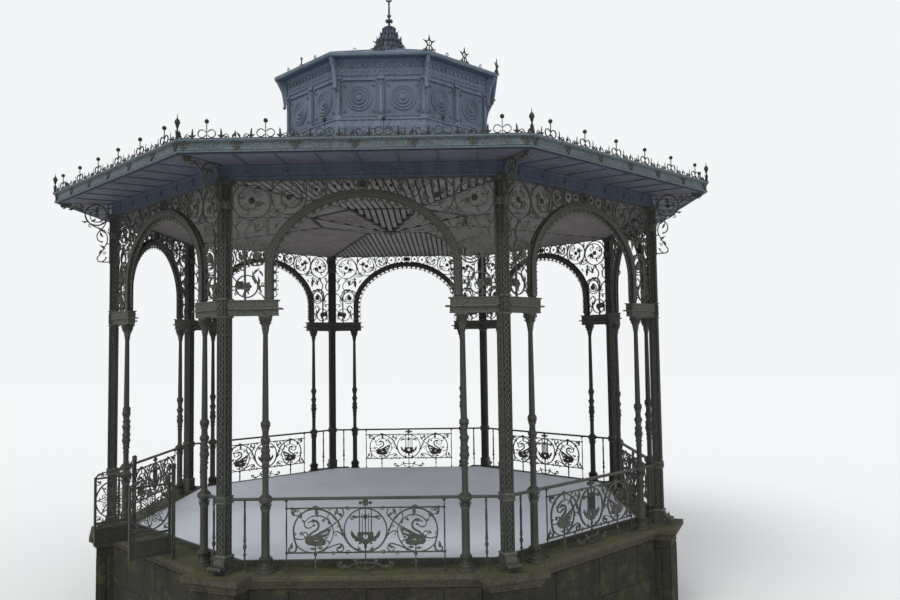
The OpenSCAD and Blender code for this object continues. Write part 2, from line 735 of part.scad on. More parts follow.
// The lyre in its ring, with its crossbar, its five strings and the flower over it
module lyre() {
    k = lyre_ring_r / 275;
    flower_z = (rail_h + upper_rail_h) / 2;
    hoop(by_lyre(0, 0), lyre_ring_r);
    upright_bar(0, rail_mid - 80 * k, rail_h, bar_w * 0.8);
    level_bar(-112 * k, 112 * k, rail_mid + 169 * k, bar_w * 0.8);
    difference() {
        disc(by_lyre(0, -72), 106 * k);
        level_bar(-200 * k, 200 * k, rail_mid + 72 * k, 200 * k);
        disc(by_lyre(0, -85), 32 * k);
    }
    upright_bar(0, 0, rail_mid - 160 * k);
    level_bar(-66, 66, flower_z, bar_w * 0.6);
    disc([0, flower_z], 36);
    both_sides() {
        upright_bar(77 * k, rail_mid - 30 * k, rail_mid + 262 * k, bar_w * 0.8);
        upright_bar(40 * k, rail_mid - 30 * k, rail_mid + 209 * k, bar_w * 0.5);
        scroll([by_lyre(50, -148), by_lyre(174, -48)], 25, bar_w * 2);
        scroll([by_lyre(106, 169), by_lyre(178, 172), by_lyre(158, 148)], 15, bar_w * 0.7, 9);
        disc([64, flower_z], 11);
    }
}

// One half of the scrolled foot under the lyre
module half_foot() {
    level_bar(0, 118, by_foot(0, 112)[1], bar_w * 0.8);
    level_bar(0, 44, by_foot(0, 34)[1]);
    scroll([by_foot(108, 114), by_foot(230, 60), by_foot(357, 85), by_foot(325, 110)], -20, bar_w * 0.8,
        14);
    scroll([by_foot(90, 112), by_foot(80, 52)], -10, bar_w * 0.8, 12);
}

// Cuts what crosses the piers and the columns of a bay out of its railing
module railing_cuts() {
    bay_piers(band_w + 2 * seat, 0, rail_h + band_h / 2);
    for (s = [-1, 1])
        translate([s * column_x, -line_ap, rail_h - collar_h / 2])
            cylinder(r = collar_r + seat, h = collar_h);
}

module bay_railing(panel = true) color(iron)
    translate([0, 0, base_h])
        difference() {
            translate([0, -line_ap, 0]) {
                for (s = [-1, 1]) railing_end(s);
                if (panel) railing_panel();
            }
            railing_cuts();
        }

module railing_front() in_bay(0) bay_railing();
module railing_front_right() in_bay(1) bay_railing();
module railing_right() in_bay(2) bay_railing();
module railing_back_right() in_bay(3) bay_railing();
module railing_back() in_bay(4) bay_railing();
module railing_back_left() in_bay(5) bay_railing();
module railing_left() in_bay(6) bay_railing();
module railing_gate_ends() in_bay(7) bay_railing(false);

// Levels of the two hinges above the foot of a gate leaf
hinge_levels = [110, gate_h - 160];
hinge_len = 46;
gate_post_w = 42;
// Radius of the knuckles round the pins, and of the plates that carry the pins
knuckle_r = hinge_r + 6;
plate_r = hinge_r + 5;
plate_t = 14;
// Distance from a hinge axis to the near face of its post, and to the leaf's stile
post_gap = gate_bar / 2 + swing_gap;
stile_gap = plate_r + swing_gap;

// Places children at a hinge axis of the gate, at the level of the leaf's foot
module at_hinge(s) in_bay(7) translate([s * gate_half, -line_ap - gate_out, base_h + gate_lift]) children();

module gate_post(s) {
    x = s * (post_gap + gate_post_w / 2);
    translate([x, 0, -gate_lift]) {
        block(gate_post_w + 40, gate_post_w + 40, 14);
        block(gate_post_w, gate_post_w, gate_post_h - 60);
        translate([0, 0, gate_post_h - 60]) block(gate_post_w + 16, gate_post_w + 16, 16);
        translate([0, 0, gate_post_h - 22]) sphere(r = 34);
    }
    for (z = hinge_levels)
        translate([0, 0, z - plate_t - 2]) {
            translate([s > 0 ? 0 : -post_gap - 1, -plate_r, 0]) cube([post_gap + 1, 2 * plate_r, plate_t]);
            cylinder(r = plate_r, h = plate_t);
            cylinder(r = hinge_r, h = plate_t + 2 + hinge_len);
        }
}

module gate_posts() color(iron)
    for (s = [-1, 1])
        at_hinge(s) gate_post(s);

// One gate leaf, drawn open, with its hinge axis at the origin and the leaf along -y
module gate_leaf() color(iron) {
    reach = gate_half - swing_gap / 2;
    mid_z = kick_h + 90;
    top_z = gate_h - gate_bar;
    wheel_z = (mid_z + gate_bar * 0.8 + top_z) / 2;
    wheel_y = -(reach + stile_gap) / 2;
    wheel_r = (top_z - mid_z - gate_bar * 0.8) / 2 - bar_w / 2 - 30;
    for (y = [-stile_gap - gate_bar, -reach])
        translate([-gate_bar / 2, y, 0]) cube([gate_bar, gate_bar, gate_h]);
    for (z = [0, kick_h, mid_z, top_z])
        translate([-gate_bar / 2, -reach + 1, z]) cube([gate_bar, reach - stile_gap - 2, gate_bar * 0.8]);
    translate([-4, -reach + 1, 1]) cube([8, reach - stile_gap - 2, kick_h]);
    for (z = hinge_levels)
        difference() {
            union() {
                translate([0, 0, z]) cylinder(r = knuckle_r, h = hinge_len);
                translate([-8, -stile_gap - 1, z]) cube([16, stile_gap + 1, hinge_len]);
            }
            translate([0, 0, z - 1]) cylinder(r = hinge_r + pin_gap, h = hinge_len + 2);
        }
    translate([0, wheel_y, wheel_z]) {
        rotate([0, 0, 90]) stand_up() hoop([0, 0], wheel_r);
        rotate([90, 0, 90])
            linear_extrude(bar_d - 8, center = true)
                for (a = [0 : 45 : 315])
                    rotate(a)
                        both_sides()
                            scroll([[0, 24], [22, wheel_r * 0.66], [0, wheel_r - 4]], 55, bar_w * 0.6);
        rotate([0, 90, 0]) cylinder(r = 34, h = bar_d + 8, center = true);
        for (s = [-1, 1])
            translate([-bar_d / 2 + 4, -bar_w / 2, s > 0 ? wheel_r : -wheel_r - 31])
                cube([bar_d - 8, bar_w, 31]);
    }
    rotate([0, 0, -90]) stand_up(bar_d - 8) gate_scrolls(stile_gap + gate_bar, reach);
}

// Flat scrolls on top of a gate leaf, x from its hinge axis between its stiles at x0 and x1
module gate_scrolls(x0, x1) {
    mid = (x0 + x1) / 2;
    w = bar_w * 0.7;
    upright_bar(x0 - gate_bar / 2, gate_h - 2, gate_h + 230, bar_w);
    disc([x0 - gate_bar / 2, gate_h + 236], 22);
    scroll([[x0 - gate_bar / 2, gate_h + 210], [mid, gate_h + 66], [x1 - 12, gate_h - 4]], -60, bar_w);
    scroll([[x0 - 10, gate_h + 30], [x0 + 96, gate_h + 106], [x0 + 104, gate_h + 40]], 80, w, 11);
    scroll([[x0 + 190, gate_h - 4], [x0 + 260, gate_h + 50], [x0 + 250, gate_h + 16]], 80, w, 10);
    scroll([[x1 - 30, gate_h + 10], [x1 - 110, gate_h + 50], [x1 - 100, gate_h + 14]], 110, w, 10);
}

module gate_leaf_near() at_hinge(1) gate_leaf();
module gate_leaf_far() at_hinge(-1) gate_leaf();

module girders() color(iron_blue)
    each_bay()
        mitred([[girder_in, girder_z], [girder_in + girder_d, girder_z],
            [girder_in + girder_d, girder_z + 30], [girder_in + girder_d - 12, girder_z + 36],
            [girder_in + girder_d - 12, soffit_z - 40], [girder_in + girder_d, soffit_z - 30],
            [girder_in + girder_d, soffit_z], [girder_in, soffit_z]], 0, soffit_z + 1);

// Level of the soffit's underside at the distance a from the middle, square to a bay
function soffit_level(a) =
    soffit_z - soffit_fall * (a - girder_in - girder_d) / (eave_ap - fascia_t - girder_in - girder_d);

// The scrolled bracket outside a pier under the eave, in the plane through the pier's centre
module corner_bracket() rotate([0, 0, -90]) stand_up() translate([0, girder_z]) bracket_flat();

// The bracket from the side, with x outwards from the pier's centre and the girder's underside at 0
module bracket_flat() {
    face = pier_w / 2 + seat;
    cap = pier_cap_w / 2 + seat;
    ring_r = 170;
    ring_x = 284;
    tip = (eave_ap - fascia_t) / cos(HALF) - pier_r - 20;
    rise0 = soffit_level((pier_r + cap) * cos(HALF)) - girder_z - seat;
    rise1 = soffit_level((pier_r + tip) * cos(HALF)) - girder_z - seat;
    polygon([[cap, rise0 - bar_w], [tip, rise1 - bar_w], [tip, rise1], [cap, rise0]]);
    upright_bar(cap + bar_w / 2, -42, rise0 - 1);
    strip(face, -800, face + bar_w, -pier_cap_h - 2 * seat);
    hoop([ring_x, 0], ring_r, bar_w + 4);
    volute([ring_x, 0], ring_r - 4, 100, 1, bar_w - 2);
    level_bar(cap, ring_x - ring_r + 4, -34);
    scroll([[ring_x + ring_r, 20], [256, -210], [128, -470], [256, -690], [196, -770], [132, -700]],
        -95, bar_w, 14);
    scroll([[ring_x - ring_r + 15, -70], [236, -267], [262, -400], [196, -440]], -80, bar_w, 14);
    level_bar(face, 130, -470);
    level_bar(face, 190, -774);
    scroll([[ring_x + ring_r, 20], [tip - 20, rise1 - 18]], 37, bar_w + 4);
    polygon([[tip - 190, rise1 - 12], [tip - 150, rise1 - 74], [tip - 96, rise1 - 52],
        [tip - 40, rise1 - 86], [tip - 6, rise1 - 12]]);
}

module corner_brackets() color(iron)
    for (j = [0 : SIDES - 1])
        at_corner(j) corner_bracket();

module soffit() color(board)
    each_bay()
        mitred([[girder_in + 10, soffit_z + seat], [girder_in + girder_d, soffit_z + seat],
            [eave_ap - fascia_t, eave_z + seat], [eave_ap - fascia_t, eave_z + board_t],
            [girder_in + girder_d, soffit_z + board_t], [girder_in + 10, soffit_z + board_t]],
            0, soffit_z + board_t + 1);

module fascia() color(zinc)
    each_bay()
        mitred([[eave_ap - fascia_t + seat, eave_z], [eave_ap + 18, eave_z - 6],
            [eave_ap + 18, eave_z + 14], [eave_ap, eave_z + 22], [eave_ap, eave_z + fascia_h - 46],
            [eave_ap + 34, eave_z + fascia_h - 30], [eave_ap + 40, eave_z + fascia_h - 8],
            [eave_ap + 30, eave_z + fascia_h], [eave_ap - fascia_t + seat, eave_z + fascia_h]], 0, roof_z);

// The cresting on the fascia: balls on stems that stand on a strip, and a spike at each corner
module eave_cresting() color(iron) {
    line = eave_ap + 8;
    top = eave_z + fascia_h + seat;
    half = line * tan(HALF);
    pitch = 2 * half / balls;
    each_bay()
        translate([0, -line, top]) {
            stand_up(10) {
                level_bar(-half + 48, half - 48, 6, 12);
                for (k = [0.5 - balls / 2 : balls / 2 - 0.5])
                    upright_bar(k * pitch, 4, 204, 9);
            }
            for (k = [0.5 - balls / 2 : balls / 2 - 0.5])
                translate([k * pitch, 0, 220]) sphere(r = 28);
        }
    for (j = [0 : SIDES - 1])
        rotate([0, 0, TURN * j + HALF])
            translate([0, -line / cos(HALF), top])
                rotate_extrude($fn = 24)
                    polygon([[0, 0], [30, 0], [30, 10], [12, 24], [10, 170], [36, 206], [28, 240], [8, 262],
                        [0, 330]]);
}

module ceiling() color(board)
    each_bay()
        mitred([[ceiling_inner + seat, ceiling_z + ceiling_rise], [girder_in - seat, ceiling_z],
            [girder_in - seat, ceiling_z + board_t],
            [ceiling_inner + seat, ceiling_z + ceiling_rise + board_t]], 0, roof_z);

module ceiling_centre() color(board)
    each_bay()
        mitred([[0, ceiling_z + ceiling_rise - ceiling_drop], [ceiling_inner, ceiling_z + ceiling_rise],
            [ceiling_inner, ceiling_z + ceiling_rise + board_t],
            [0, ceiling_z + ceiling_rise - ceiling_drop + board_t]], 0, roof_z);

// Ribs under the ceiling's hips and a frame round its inner octagon
module ceiling_ribs() color(iron) {
    t = 18;
    w = 70;
    inner_z = ceiling_z + ceiling_rise - 1;
    r0 = (ceiling_inner + w / 2) / cos(HALF) + 6;
    r1 = pier_r - pier_cap_w / 2 - 6;
    fall = ceiling_rise / (girder_in - ceiling_inner) * cos(HALF);
    centre_fall = ceiling_drop / ceiling_inner * cos(HALF);
    c0 = 140;
    c1 = (ceiling_inner - w / 2) / cos(HALF) - 6;
    each_bay()
        mitred([[ceiling_inner - w / 2, inner_z - t - 6], [ceiling_inner + w / 2, inner_z - t - 6],
            [ceiling_inner + w / 2, inner_z - 2], [ceiling_inner, inner_z],
            [ceiling_inner - w / 2, inner_z - 6]],
            0, roof_z);
    for (j = [0 : SIDES - 1])
        rotate([0, 0, TURN * j + HALF])
            rotate([90, 0, 0])
                linear_extrude(w, center = true) {
                    polygon([for (p = [[r0, 0], [r1, 0], [r1, t], [r0, t]])
                        [p[0], inner_z - (p[0] - ceiling_inner / cos(HALF)) * fall - p[1]]]);
                    polygon([for (p = [[c0, 0], [c1, 0], [c1, t], [c0, t]])
                        [p[0], inner_z - (ceiling_inner / cos(HALF) - p[0]) * centre_fall - p[1]]]);
                }
}

module ceiling_boss() color(iron) {
    hip_slope = ceiling_drop / ceiling_inner * cos(HALF);
    translate([0, 0, ceiling_z + ceiling_rise - ceiling_drop - 60])
        difference() {
            rotate_extrude() polygon([[0, 0], [30, 4], [52, 22], [110, 34], [126, 52], [126, 90], [0, 90]]);
            translate([0, 0, 60])
                rotate_extrude() polygon([[0, -seat], [200, 200 * hip_slope - seat], [200, 300], [0, 300]]);
        }
}

module roof() color(zinc) {
    foot = eave_ap - fascia_t;
    top_in = drum_ap - 180;
    hip_r = 28;
    each_bay()
        mitred([[foot, eave_z + board_t + seat], [foot, roof_foot_z],
            [top_in, roof_foot_z + (foot - top_in) * roof_tan],
            [top_in, roof_foot_z + (foot - top_in) * roof_tan - roof_t],
            [foot - 90, roof_foot_z + 90 * roof_tan - roof_t],
            [foot - 90, soffit_level(foot - 90) + board_t + seat]], 0, roof_z + 200);
    for (j = [0 : SIDES - 1])
        rotate([0, 0, TURN * j + HALF])
            translate([0, -(foot - 30) / cos(HALF), roof_top(foot - 30) + hip_r])
                rotate([-90 + atan(roof_tan * cos(HALF)), 0, 0])
                    cylinder(r = hip_r, h = norm([(foot - drum_ap - 150) / cos(HALF),
                        (foot - drum_ap - 150) * roof_tan]));
}

// Level just over the roof at the distance a from the middle
function roof_top(a) = roof_foot_z + (eave_ap - fascia_t - a) * roof_tan + seat;

module drum_base() color(zinc)
    each_bay() {
        face = drum_ap + 70;
        low = roof_top(face) + 10;
        high = drum_wall_z - 130;
        pitch = 2 * drum_ap * tan(HALF) / 6;
        mitred([[drum_ap - drum_t, roof_top(drum_ap - drum_t)], [face, roof_top(face)], [face, high],
            [drum_ap + 40, drum_wall_z - 110], [drum_ap + 40, drum_wall_z - 30],
            [drum_ap + 56, drum_wall_z - 20], [drum_ap + 56, drum_wall_z],
            [drum_ap - drum_t, drum_wall_z]], 0, drum_wall_z + 1);
        for (k = [-2.5 : 2.5])
            translate([k * pitch, -face, low])
                block(30, 40, high - low - 12);
    }

// The drum's wall, with two sunk panels, their ringed rosettes and three pilasters in each bay
module drum_wall() color(zinc)
    each_bay() {
        side = drum_ap * tan(HALF);
        pane_w = side - 110;
        pane_h = drum_wall_h - 130;
        corner = 90;
        sunk = 18;
        difference() {
            mitred([[drum_ap - drum_t, drum_wall_z + seat], [drum_ap, drum_wall_z + seat],
                [drum_ap, drum_frieze_z - seat], [drum_ap - drum_t, drum_frieze_z - seat]],
                0, drum_frieze_z + 1);
            for (s = [-1, 1])
                translate([s * side / 2, -drum_ap + sunk, drum_wall_z + 60])
                    rotate([90, 0, 0])
                        linear_extrude(sunk + 1) {
                            strip(-pane_w / 2, 0, pane_w / 2, pane_h - corner);
                            strip(-pane_w / 2 + corner, 0, pane_w / 2 - corner, pane_h);
                            both_sides()
                                disc([pane_w / 2 - corner, pane_h - corner], corner);
                        }
        }
        for (s = [-1, 1])
            translate([s * side / 2, -drum_ap + sunk, drum_wall_z + 60 + pane_h / 2])
                rotate([90, 0, 0]) {
                    linear_extrude(12) {
                        hoop([0, 0], 196, 22);
                        hoop([0, 0], 142, 14);
                    }
                    cylinder(r = 106, h = 8);
                    cylinder(r = 76, h = 18);
                    cylinder(r = 32, h = 28);
                }
        intersection() {
            bay_wedge(drum_wall_z, drum_frieze_z);
            for (x = [-side, 0, side])
                translate([x, -drum_ap, drum_wall_z + seat]) {
                    w = x == 0 ? 70 : 120;
                    block(w + 30, 44, 60);
                    block(w, 32, drum_wall_h - 2 * seat);
                    translate([0, 0, drum_wall_h - 60]) block(w + 36, 48, 60 - 2 * seat);
                }
        }
    }

module drum_frieze() color(zinc)
    each_bay()
        mitred([[drum_ap - drum_t, drum_frieze_z], [drum_ap + 14, drum_frieze_z],
            [drum_ap + 26, drum_frieze_z + 20], [drum_ap + 14, drum_frieze_z + 36],
            [drum_ap + 14, drum_eave_z - 50], [drum_ap + 60, drum_eave_z - seat],
            [drum_ap - drum_t, drum_eave_z - seat]], 0, drum_eave_z + 1);

module drum_eave_ring() color(zinc) {
    a = drum_ap + drum_eave;
    each_bay()
        mitred([[drum_ap - drum_t, drum_eave_z], [a - 20, drum_eave_z], [a, drum_eave_z + 12],
            [a + 6, drum_top_z - 14], [a, drum_top_z - seat], [drum_ap - drum_t, drum_top_z - seat]],
            0, drum_top_z + 1);
    for (j = [0 : SIDES - 1])
        rotate([0, 0, TURN * j + HALF - 90])
            rotate([90, 0, 0])
                linear_extrude(56, center = true)
                    drum_console(a);
}

// A console under a corner of the drum's eave, as [distance from the middle, level]
module drum_console(a) {
    top = drum_eave_z - seat;
    k = 1 / cos(HALF);
    gap = 2 * seat;
    polygon([[(drum_ap + 60 + gap) * k, top], [(drum_ap + 14 + gap) * k, drum_eave_z - 50],
        [(drum_ap + 14 + gap) * k, drum_frieze_z + 36], [(drum_ap + 26 + gap) * k, drum_frieze_z + 20],
        [(drum_ap + 26 + gap) * k, drum_frieze_z - 200], [(drum_ap + 44) * k, drum_frieze_z - 230],
        [(drum_ap + 64) * k, drum_frieze_z - 190], [(drum_ap + 72) * k, drum_frieze_z - 60],
        [(drum_ap + 104) * k, drum_frieze_z + 90], [(a - 46) * k, top - 40], [(a - 30) * k, top]]);
}

// The antefixes on the drum's eave: two at the corners have broken off, and one at a middle is bent
module drum_cresting() color(iron) {
    line = drum_ap + drum_eave - 8;
    for (j = [0 : SIDES - 3])
        rotate([0, 0, TURN * j + HALF])
            translate([0, -line / cos(HALF), drum_top_z + seat])
                stand_up(14) antefix();
    for (i = [0 : SIDES - 1])
        in_bay(i)
            translate([0, -line, drum_top_z + seat])
                if (i < SIDES - 1)
                    stand_up(14) antefix();
                else
                    stand_up(14) bent_antefix();
}

// An antefix: a ring with a spike, two side points and two legs on a strip
module antefix() {
    strip(-84, 0, 84, 14);
    hoop([0, 128], 44, 16);
    upright_bar(0, 8, 90, 16);
    polygon([[-22, 164], [0, 262], [22, 164]]);
    both_sides() {
        polygon([[34, 158], [100, 170], [46, 116]]);
        polygon([[20, 96], [36, 90], [78, 8], [58, 8]]);
    }
}

// What is left of the bent antefix
module bent_antefix() {
    strip(-40, 0, 40, 14);
    rotate(-14) {
        upright_bar(0, 4, 120, 16);
        polygon([[-10, 84], [-62, 132], [-6, 116]]);
        disc([0, 122], 14);
    }
}

module drum_roof() color(zinc)
    each_bay()
        mitred([[drum_foot, drum_top_z], [spigot_ap, spigot_z], [spigot_ap, spigot_z - roof_t],
            [drum_foot - roof_t / tan(drum_slope) - 60, drum_top_z]], 0, spigot_z + 1);

// Outline of the finial as [radius, level over the spigot's shoulder], its rim resting on the roof's hips
function finial_profile(r, h, s) = let (rim = -(r * cos(HALF) - spigot_ap) * tan(drum_slope) + 1) [
    [0, 1], [spigot_ap / cos(HALF) + 4, 1], [r, rim], [r, rim + 50], [r * 0.86, rim + 70],
    [r * 0.7, h * 0.3], [r * 0.76, h * 0.36], [r * 0.62, h * 0.44], [r * 0.44, h * 0.7],
    [r * 0.36, h * 0.86], [r * 0.4, h * 0.94], [r * 0.3, h], [24, h + 10], [22, h + 90],
    [60, h + 116], [66, h + 130], [50, h + 146], [20, h + 156],
    [18, h + 196], [38, h + 220], [18, h + 246], [14, h + s - 120], [30, h + s - 80], [0, h + s]];

// Flat leaves on the finial, as [radius, level above the spigot's shoulder]: one on the bell, and then
// one of the fork over it
module bell_leaf() {
    rim = -(bell_r * cos(HALF) - spigot_ap) * tan(drum_slope) + 60;
    disc([bell_r * 0.88, rim + 34], 40);
    disc([bell_r * 0.8, rim + 92], 30);
    disc([bell_r * 0.74, bell_h * 0.42], 30);
    disc([bell_r * 0.52, bell_h * 0.7], 24);
}

module fork_leaf() {
    z = bell_h + stem_h - 360;
    polygon([[4, z], [48, z + 50], [34, z + 70], [70, z + 120], [58, z + 150], [118, z + 226],
        [66, z + 214], [40, z + 250], [4, z + 180]]);
}

module finial() color(iron_blue)
    translate([0, 0, spigot_z]) {
        rotate_extrude() polygon(finial_profile(bell_r, bell_h, stem_h));
        translate([0, 0, -roof_t])
            rotate([0, 0, HALF])
                cylinder(r = (spigot_ap - seat) / cos(HALF), h = roof_t + 20, $fn = SIDES);
        for (a = [0 : TURN : 359])
            rotate([90, 0, a + HALF]) linear_extrude(16, center = true) bell_leaf();
        for (a = [0 : 90 : 270])
            rotate([90, 0, a]) linear_extrude(12, center = true) fork_leaf();
    }

module pier_1() at_corner(0) pier();
module pier_2() at_corner(1) pier();
module pier_3() at_corner(2) pier();
module pier_4() at_corner(3) pier();
module pier_5() at_corner(4) pier();
module pier_6() at_corner(5) pier();
module pier_7() at_corner(6) pier();
module pier_8() at_corner(7) pier();

base_walls();
base_pedestals();
pedestal_caps();
coping();
floor_slab();
pier_1();
pier_2();
pier_3();
pier_4();
pier_5();
pier_6();
pier_7();
pier_8();
slender_columns();
arch_front();
arch_front_right();
arch_right();
arch_back_right();
arch_back();
arch_back_left();
arch_left();
arch_gate();
spandrels_front();
spandrels_front_right();
spandrels_right();
spandrels_back_right();
spandrels_back();
spandrels_back_left();
spandrels_left();
spandrels_gate();
railing_front();
railing_front_right();
railing_right();
railing_back_right();
railing_back();
railing_back_left();
railing_left();
railing_gate_ends();
gate_posts();
gate_leaf_near();
gate_leaf_far();
girders();
corner_brackets();
soffit();
fascia();
eave_cresting();
ceiling();
ceiling_centre();
ceiling_ribs();
ceiling_boss();
roof();
drum_base();
drum_wall();
drum_frieze();
drum_eave_ring();
drum_cresting();
drum_roof();
finial();
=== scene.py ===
"""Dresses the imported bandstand: finishes for its own solids, and the finer ironwork, boards and stones on them."""

import json
import math

import bpy
import numpy as np
from mathutils import Matrix, Vector


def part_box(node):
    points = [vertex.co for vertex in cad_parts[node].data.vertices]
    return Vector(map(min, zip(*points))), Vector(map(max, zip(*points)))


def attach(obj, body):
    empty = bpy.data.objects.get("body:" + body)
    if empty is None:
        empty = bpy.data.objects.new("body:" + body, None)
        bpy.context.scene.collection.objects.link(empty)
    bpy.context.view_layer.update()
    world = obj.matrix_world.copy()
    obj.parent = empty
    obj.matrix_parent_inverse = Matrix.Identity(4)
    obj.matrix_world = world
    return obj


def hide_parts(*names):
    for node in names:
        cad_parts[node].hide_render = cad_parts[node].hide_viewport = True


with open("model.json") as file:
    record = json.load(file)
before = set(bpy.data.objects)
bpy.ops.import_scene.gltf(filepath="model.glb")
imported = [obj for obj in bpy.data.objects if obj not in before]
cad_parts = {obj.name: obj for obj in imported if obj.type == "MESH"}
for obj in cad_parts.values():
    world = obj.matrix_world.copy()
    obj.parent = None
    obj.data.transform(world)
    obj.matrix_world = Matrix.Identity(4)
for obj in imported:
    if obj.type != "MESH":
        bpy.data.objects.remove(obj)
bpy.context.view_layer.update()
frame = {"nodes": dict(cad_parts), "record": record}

bl_info = {
    "name": "Bandstand dresser",
    "version": (1, 0, 0),
    "blender": (4, 5, 0),
    "location": "3D View > Sidebar > Bandstand",
    "description": "Dresses an octagonal cast-iron bandstand with its finishes and fine ironwork",
    "category": "Object",
}

SIDES = 8
TURN = math.tau / SIDES
HALF = TURN / 2
# Half a side's length, and a corner's distance, for each metre square to a bay
TAN, CORNER = math.tan(HALF), 1 / math.cos(HALF)

# Levels read from the frame's own pieces, in metres
COPING_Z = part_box("coping")[1].z
FLOOR_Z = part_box("floor_slab")[1].z
WALL_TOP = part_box("base_walls")[1].z
GIRDER_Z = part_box("girders")[0].z
SOFFIT_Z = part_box("girders")[1].z
CEILING_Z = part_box("ceiling")[0].z
EAVE_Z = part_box("fascia")[0].z
EAVE_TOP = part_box("fascia")[1].z
DRUM_WALL_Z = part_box("drum_wall")[0].z
DRUM_FRIEZE_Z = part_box("drum_frieze")[0].z
DRUM_EAVE_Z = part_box("drum_frieze")[1].z
DRUM_TOP_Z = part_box("drum_cresting")[0].z

# The octagon: the piers' circle, and each line's distance from the middle, square to a bay
PIER_R = 4.8
LINE_AP = PIER_R / CORNER
BAY_HALF = PIER_R * math.sin(HALF)
WALL_AP = LINE_AP + 0.085
FLOOR_AP = LINE_AP - 0.330
EAVE_AP = LINE_AP + 0.825
CREST_AP = EAVE_AP + 0.008
SOFFIT_IN, SOFFIT_OUT = LINE_AP + 0.064, EAVE_AP - 0.030
CEILING_INNER = 1.400

# Gates, piers, columns and railings, with levels above the coping
GATE_HALF, GATE_OUT, GATE_LIFT = 0.610, 0.130, 0.065
PIER_W = 0.140
PIER_PANELS = ((0.262, 0.838), (1.032, 3.273), (3.579, 4.698))
PIER_PLAIN = (3.340, 3.512)
COLUMN_R = 0.053
COLUMN_X = BAY_HALF - 0.540
IMPOST_END = COLUMN_X - 0.164
SWAN_X = 0.650

# The arches: legs, haunches and crown about one centre line, with levels above the springing
ARCH_W, ARCH_LEG, ARCH_RISE, HAUNCH_R = 0.103, 0.398, 0.998, 0.800
ARCH_HALF = IMPOST_END + 0.056 + ARCH_W / 2
CROWN_R = ((ARCH_HALF - HAUNCH_R) ** 2 + ARCH_RISE ** 2 - HAUNCH_R ** 2) / (2 * (ARCH_RISE - HAUNCH_R))
CROWN_GAP = 0.160
GIRDER_UP = ARCH_RISE + ARCH_W / 2 + CROWN_GAP
SPRING_Z = GIRDER_Z - GIRDER_UP
IMPOST_Z = SPRING_Z - ARCH_LEG - 0.202

# Roofs, drum and finial
ROOF_FOOT_Z = EAVE_Z + 0.160 - 0.024
ROOF_Z = GIRDER_Z + 1.015
DRUM_AP = 1.792
DRUM_SIDE = DRUM_AP * TAN
DRUM_WALL_H = 0.735
DRUM_BAND_TOP = DRUM_WALL_Z - 0.130
DRUM_BAND_Z = ROOF_Z - 0.014
DRUM_CREST_AP = DRUM_AP + 0.217
BELL_R, BELL_H = 0.315, 0.490
DRUM_ROOF_SLOPE = math.tan(math.radians(22))
SPIGOT_Z = DRUM_TOP_Z + (DRUM_AP + 0.187 - BELL_R / 2) * DRUM_ROOF_SLOPE


# What a user may change

def paint_value(name, description, default):
    """A display colour that the user may change."""
    return bpy.props.FloatVectorProperty(name=name, description=description, subtype="COLOR", size=3, min=0, max=1,
                                         default=default)


def size_value(name, description, default):
    """A length in metres that the user may change."""
    return bpy.props.FloatProperty(name=name, description=description, subtype="DISTANCE", unit="LENGTH", min=0.001,
                                   max=2.0, default=default)


class BandstandColours(bpy.types.PropertyGroup):
    """Display colours of the finishes."""
    iron: paint_value("Iron", "Paint of piers, columns, arches and railings", (0.196, 0.202, 0.176))
    zinc: paint_value("Zinc", "Paint of the fascia and the eave", (0.275, 0.318, 0.338))
    drum: paint_value("Drum", "Paint of the drum's walls and mouldings", (0.355, 0.405, 0.455))
    roof: paint_value("Roofs", "Paint of the sheets and seams of both roofs", (0.31, 0.36, 0.435))
    girder: paint_value("Girders", "Paint of the girders and the finial", (0.264, 0.295, 0.358))
    board: paint_value("Ceiling", "Paint of the ceiling's boards", (0.475, 0.450, 0.440))
    soffit: paint_value("Soffit", "Paint of the boards under the eave", (0.345, 0.352, 0.408))
    stone: paint_value("Stone", "Stone of the base", (0.232, 0.220, 0.176))
    paving: paint_value("Floor", "Paving of the raised floor", (0.775, 0.79, 0.825))


class BandstandSizes(bpy.types.PropertyGroup):
    """Sizes of what repeats."""
    stone_joint: size_value("Stone joint", "Gap between two stones of the base walls", 0.009)
    braid_pitch: size_value("Braid pitch", "About the length of one eye of the braid on the piers", 0.080)
    fringe_pitch: size_value("Fringe pitch", "About the distance from a drop to a scallop under the arches", 0.056)
    board_pitch: size_value("Board pitch", "Distance between the middles of two ceiling boards", 0.105)
    board_gap: size_value("Board gap", "Gap between two ceiling boards", 0.034)
    board_thick: size_value("Board thickness", "Thickness of a ceiling board", 0.020)
    roof_seam_pitch: size_value("Roof seam pitch", "Distance between two standing seams of the main roof", 0.60)
    drum_seam_pitch: size_value("Drum seam pitch", "Distance between two standing seams of the drum's roof", 0.42)
    dentil_pitch: size_value("Dentil pitch", "Distance between two dentils under the drum's eave", 0.1)


def colours():
    """The colours that the user chose."""
    return bpy.context.scene.bandstand_colours


def sizes():
    """The sizes that the user chose."""
    return bpy.context.scene.bandstand_sizes


# Shapes worked out with numpy: each is (points, quads, triangles)

def quads_of(rings, points, closed=False):
    """Faces between rings of points: point (i, j) joins (i+1, j), (i+1, j+1) and (i, j+1), round each ring."""
    i, j = np.meshgrid(np.arange(rings if closed else rings - 1), np.arange(points), indexing="ij")
    i2, j2 = (i + 1) % rings, (j + 1) % points
    return np.stack([i * points + j, i2 * points + j, i2 * points + j2, i * points + j2], -1).reshape(-1, 4)


def join(parts):
    """Puts shapes into one, with each one's face numbers moved past the points before it."""
    points, quads, tris, start = [], [], [], 0
    for p, q, t in parts:
        points.append(p)
        quads.append(q + start)
        tris.append(t + start)
        start += len(p)
    return np.concatenate(points), np.concatenate(quads), np.concatenate(tris)


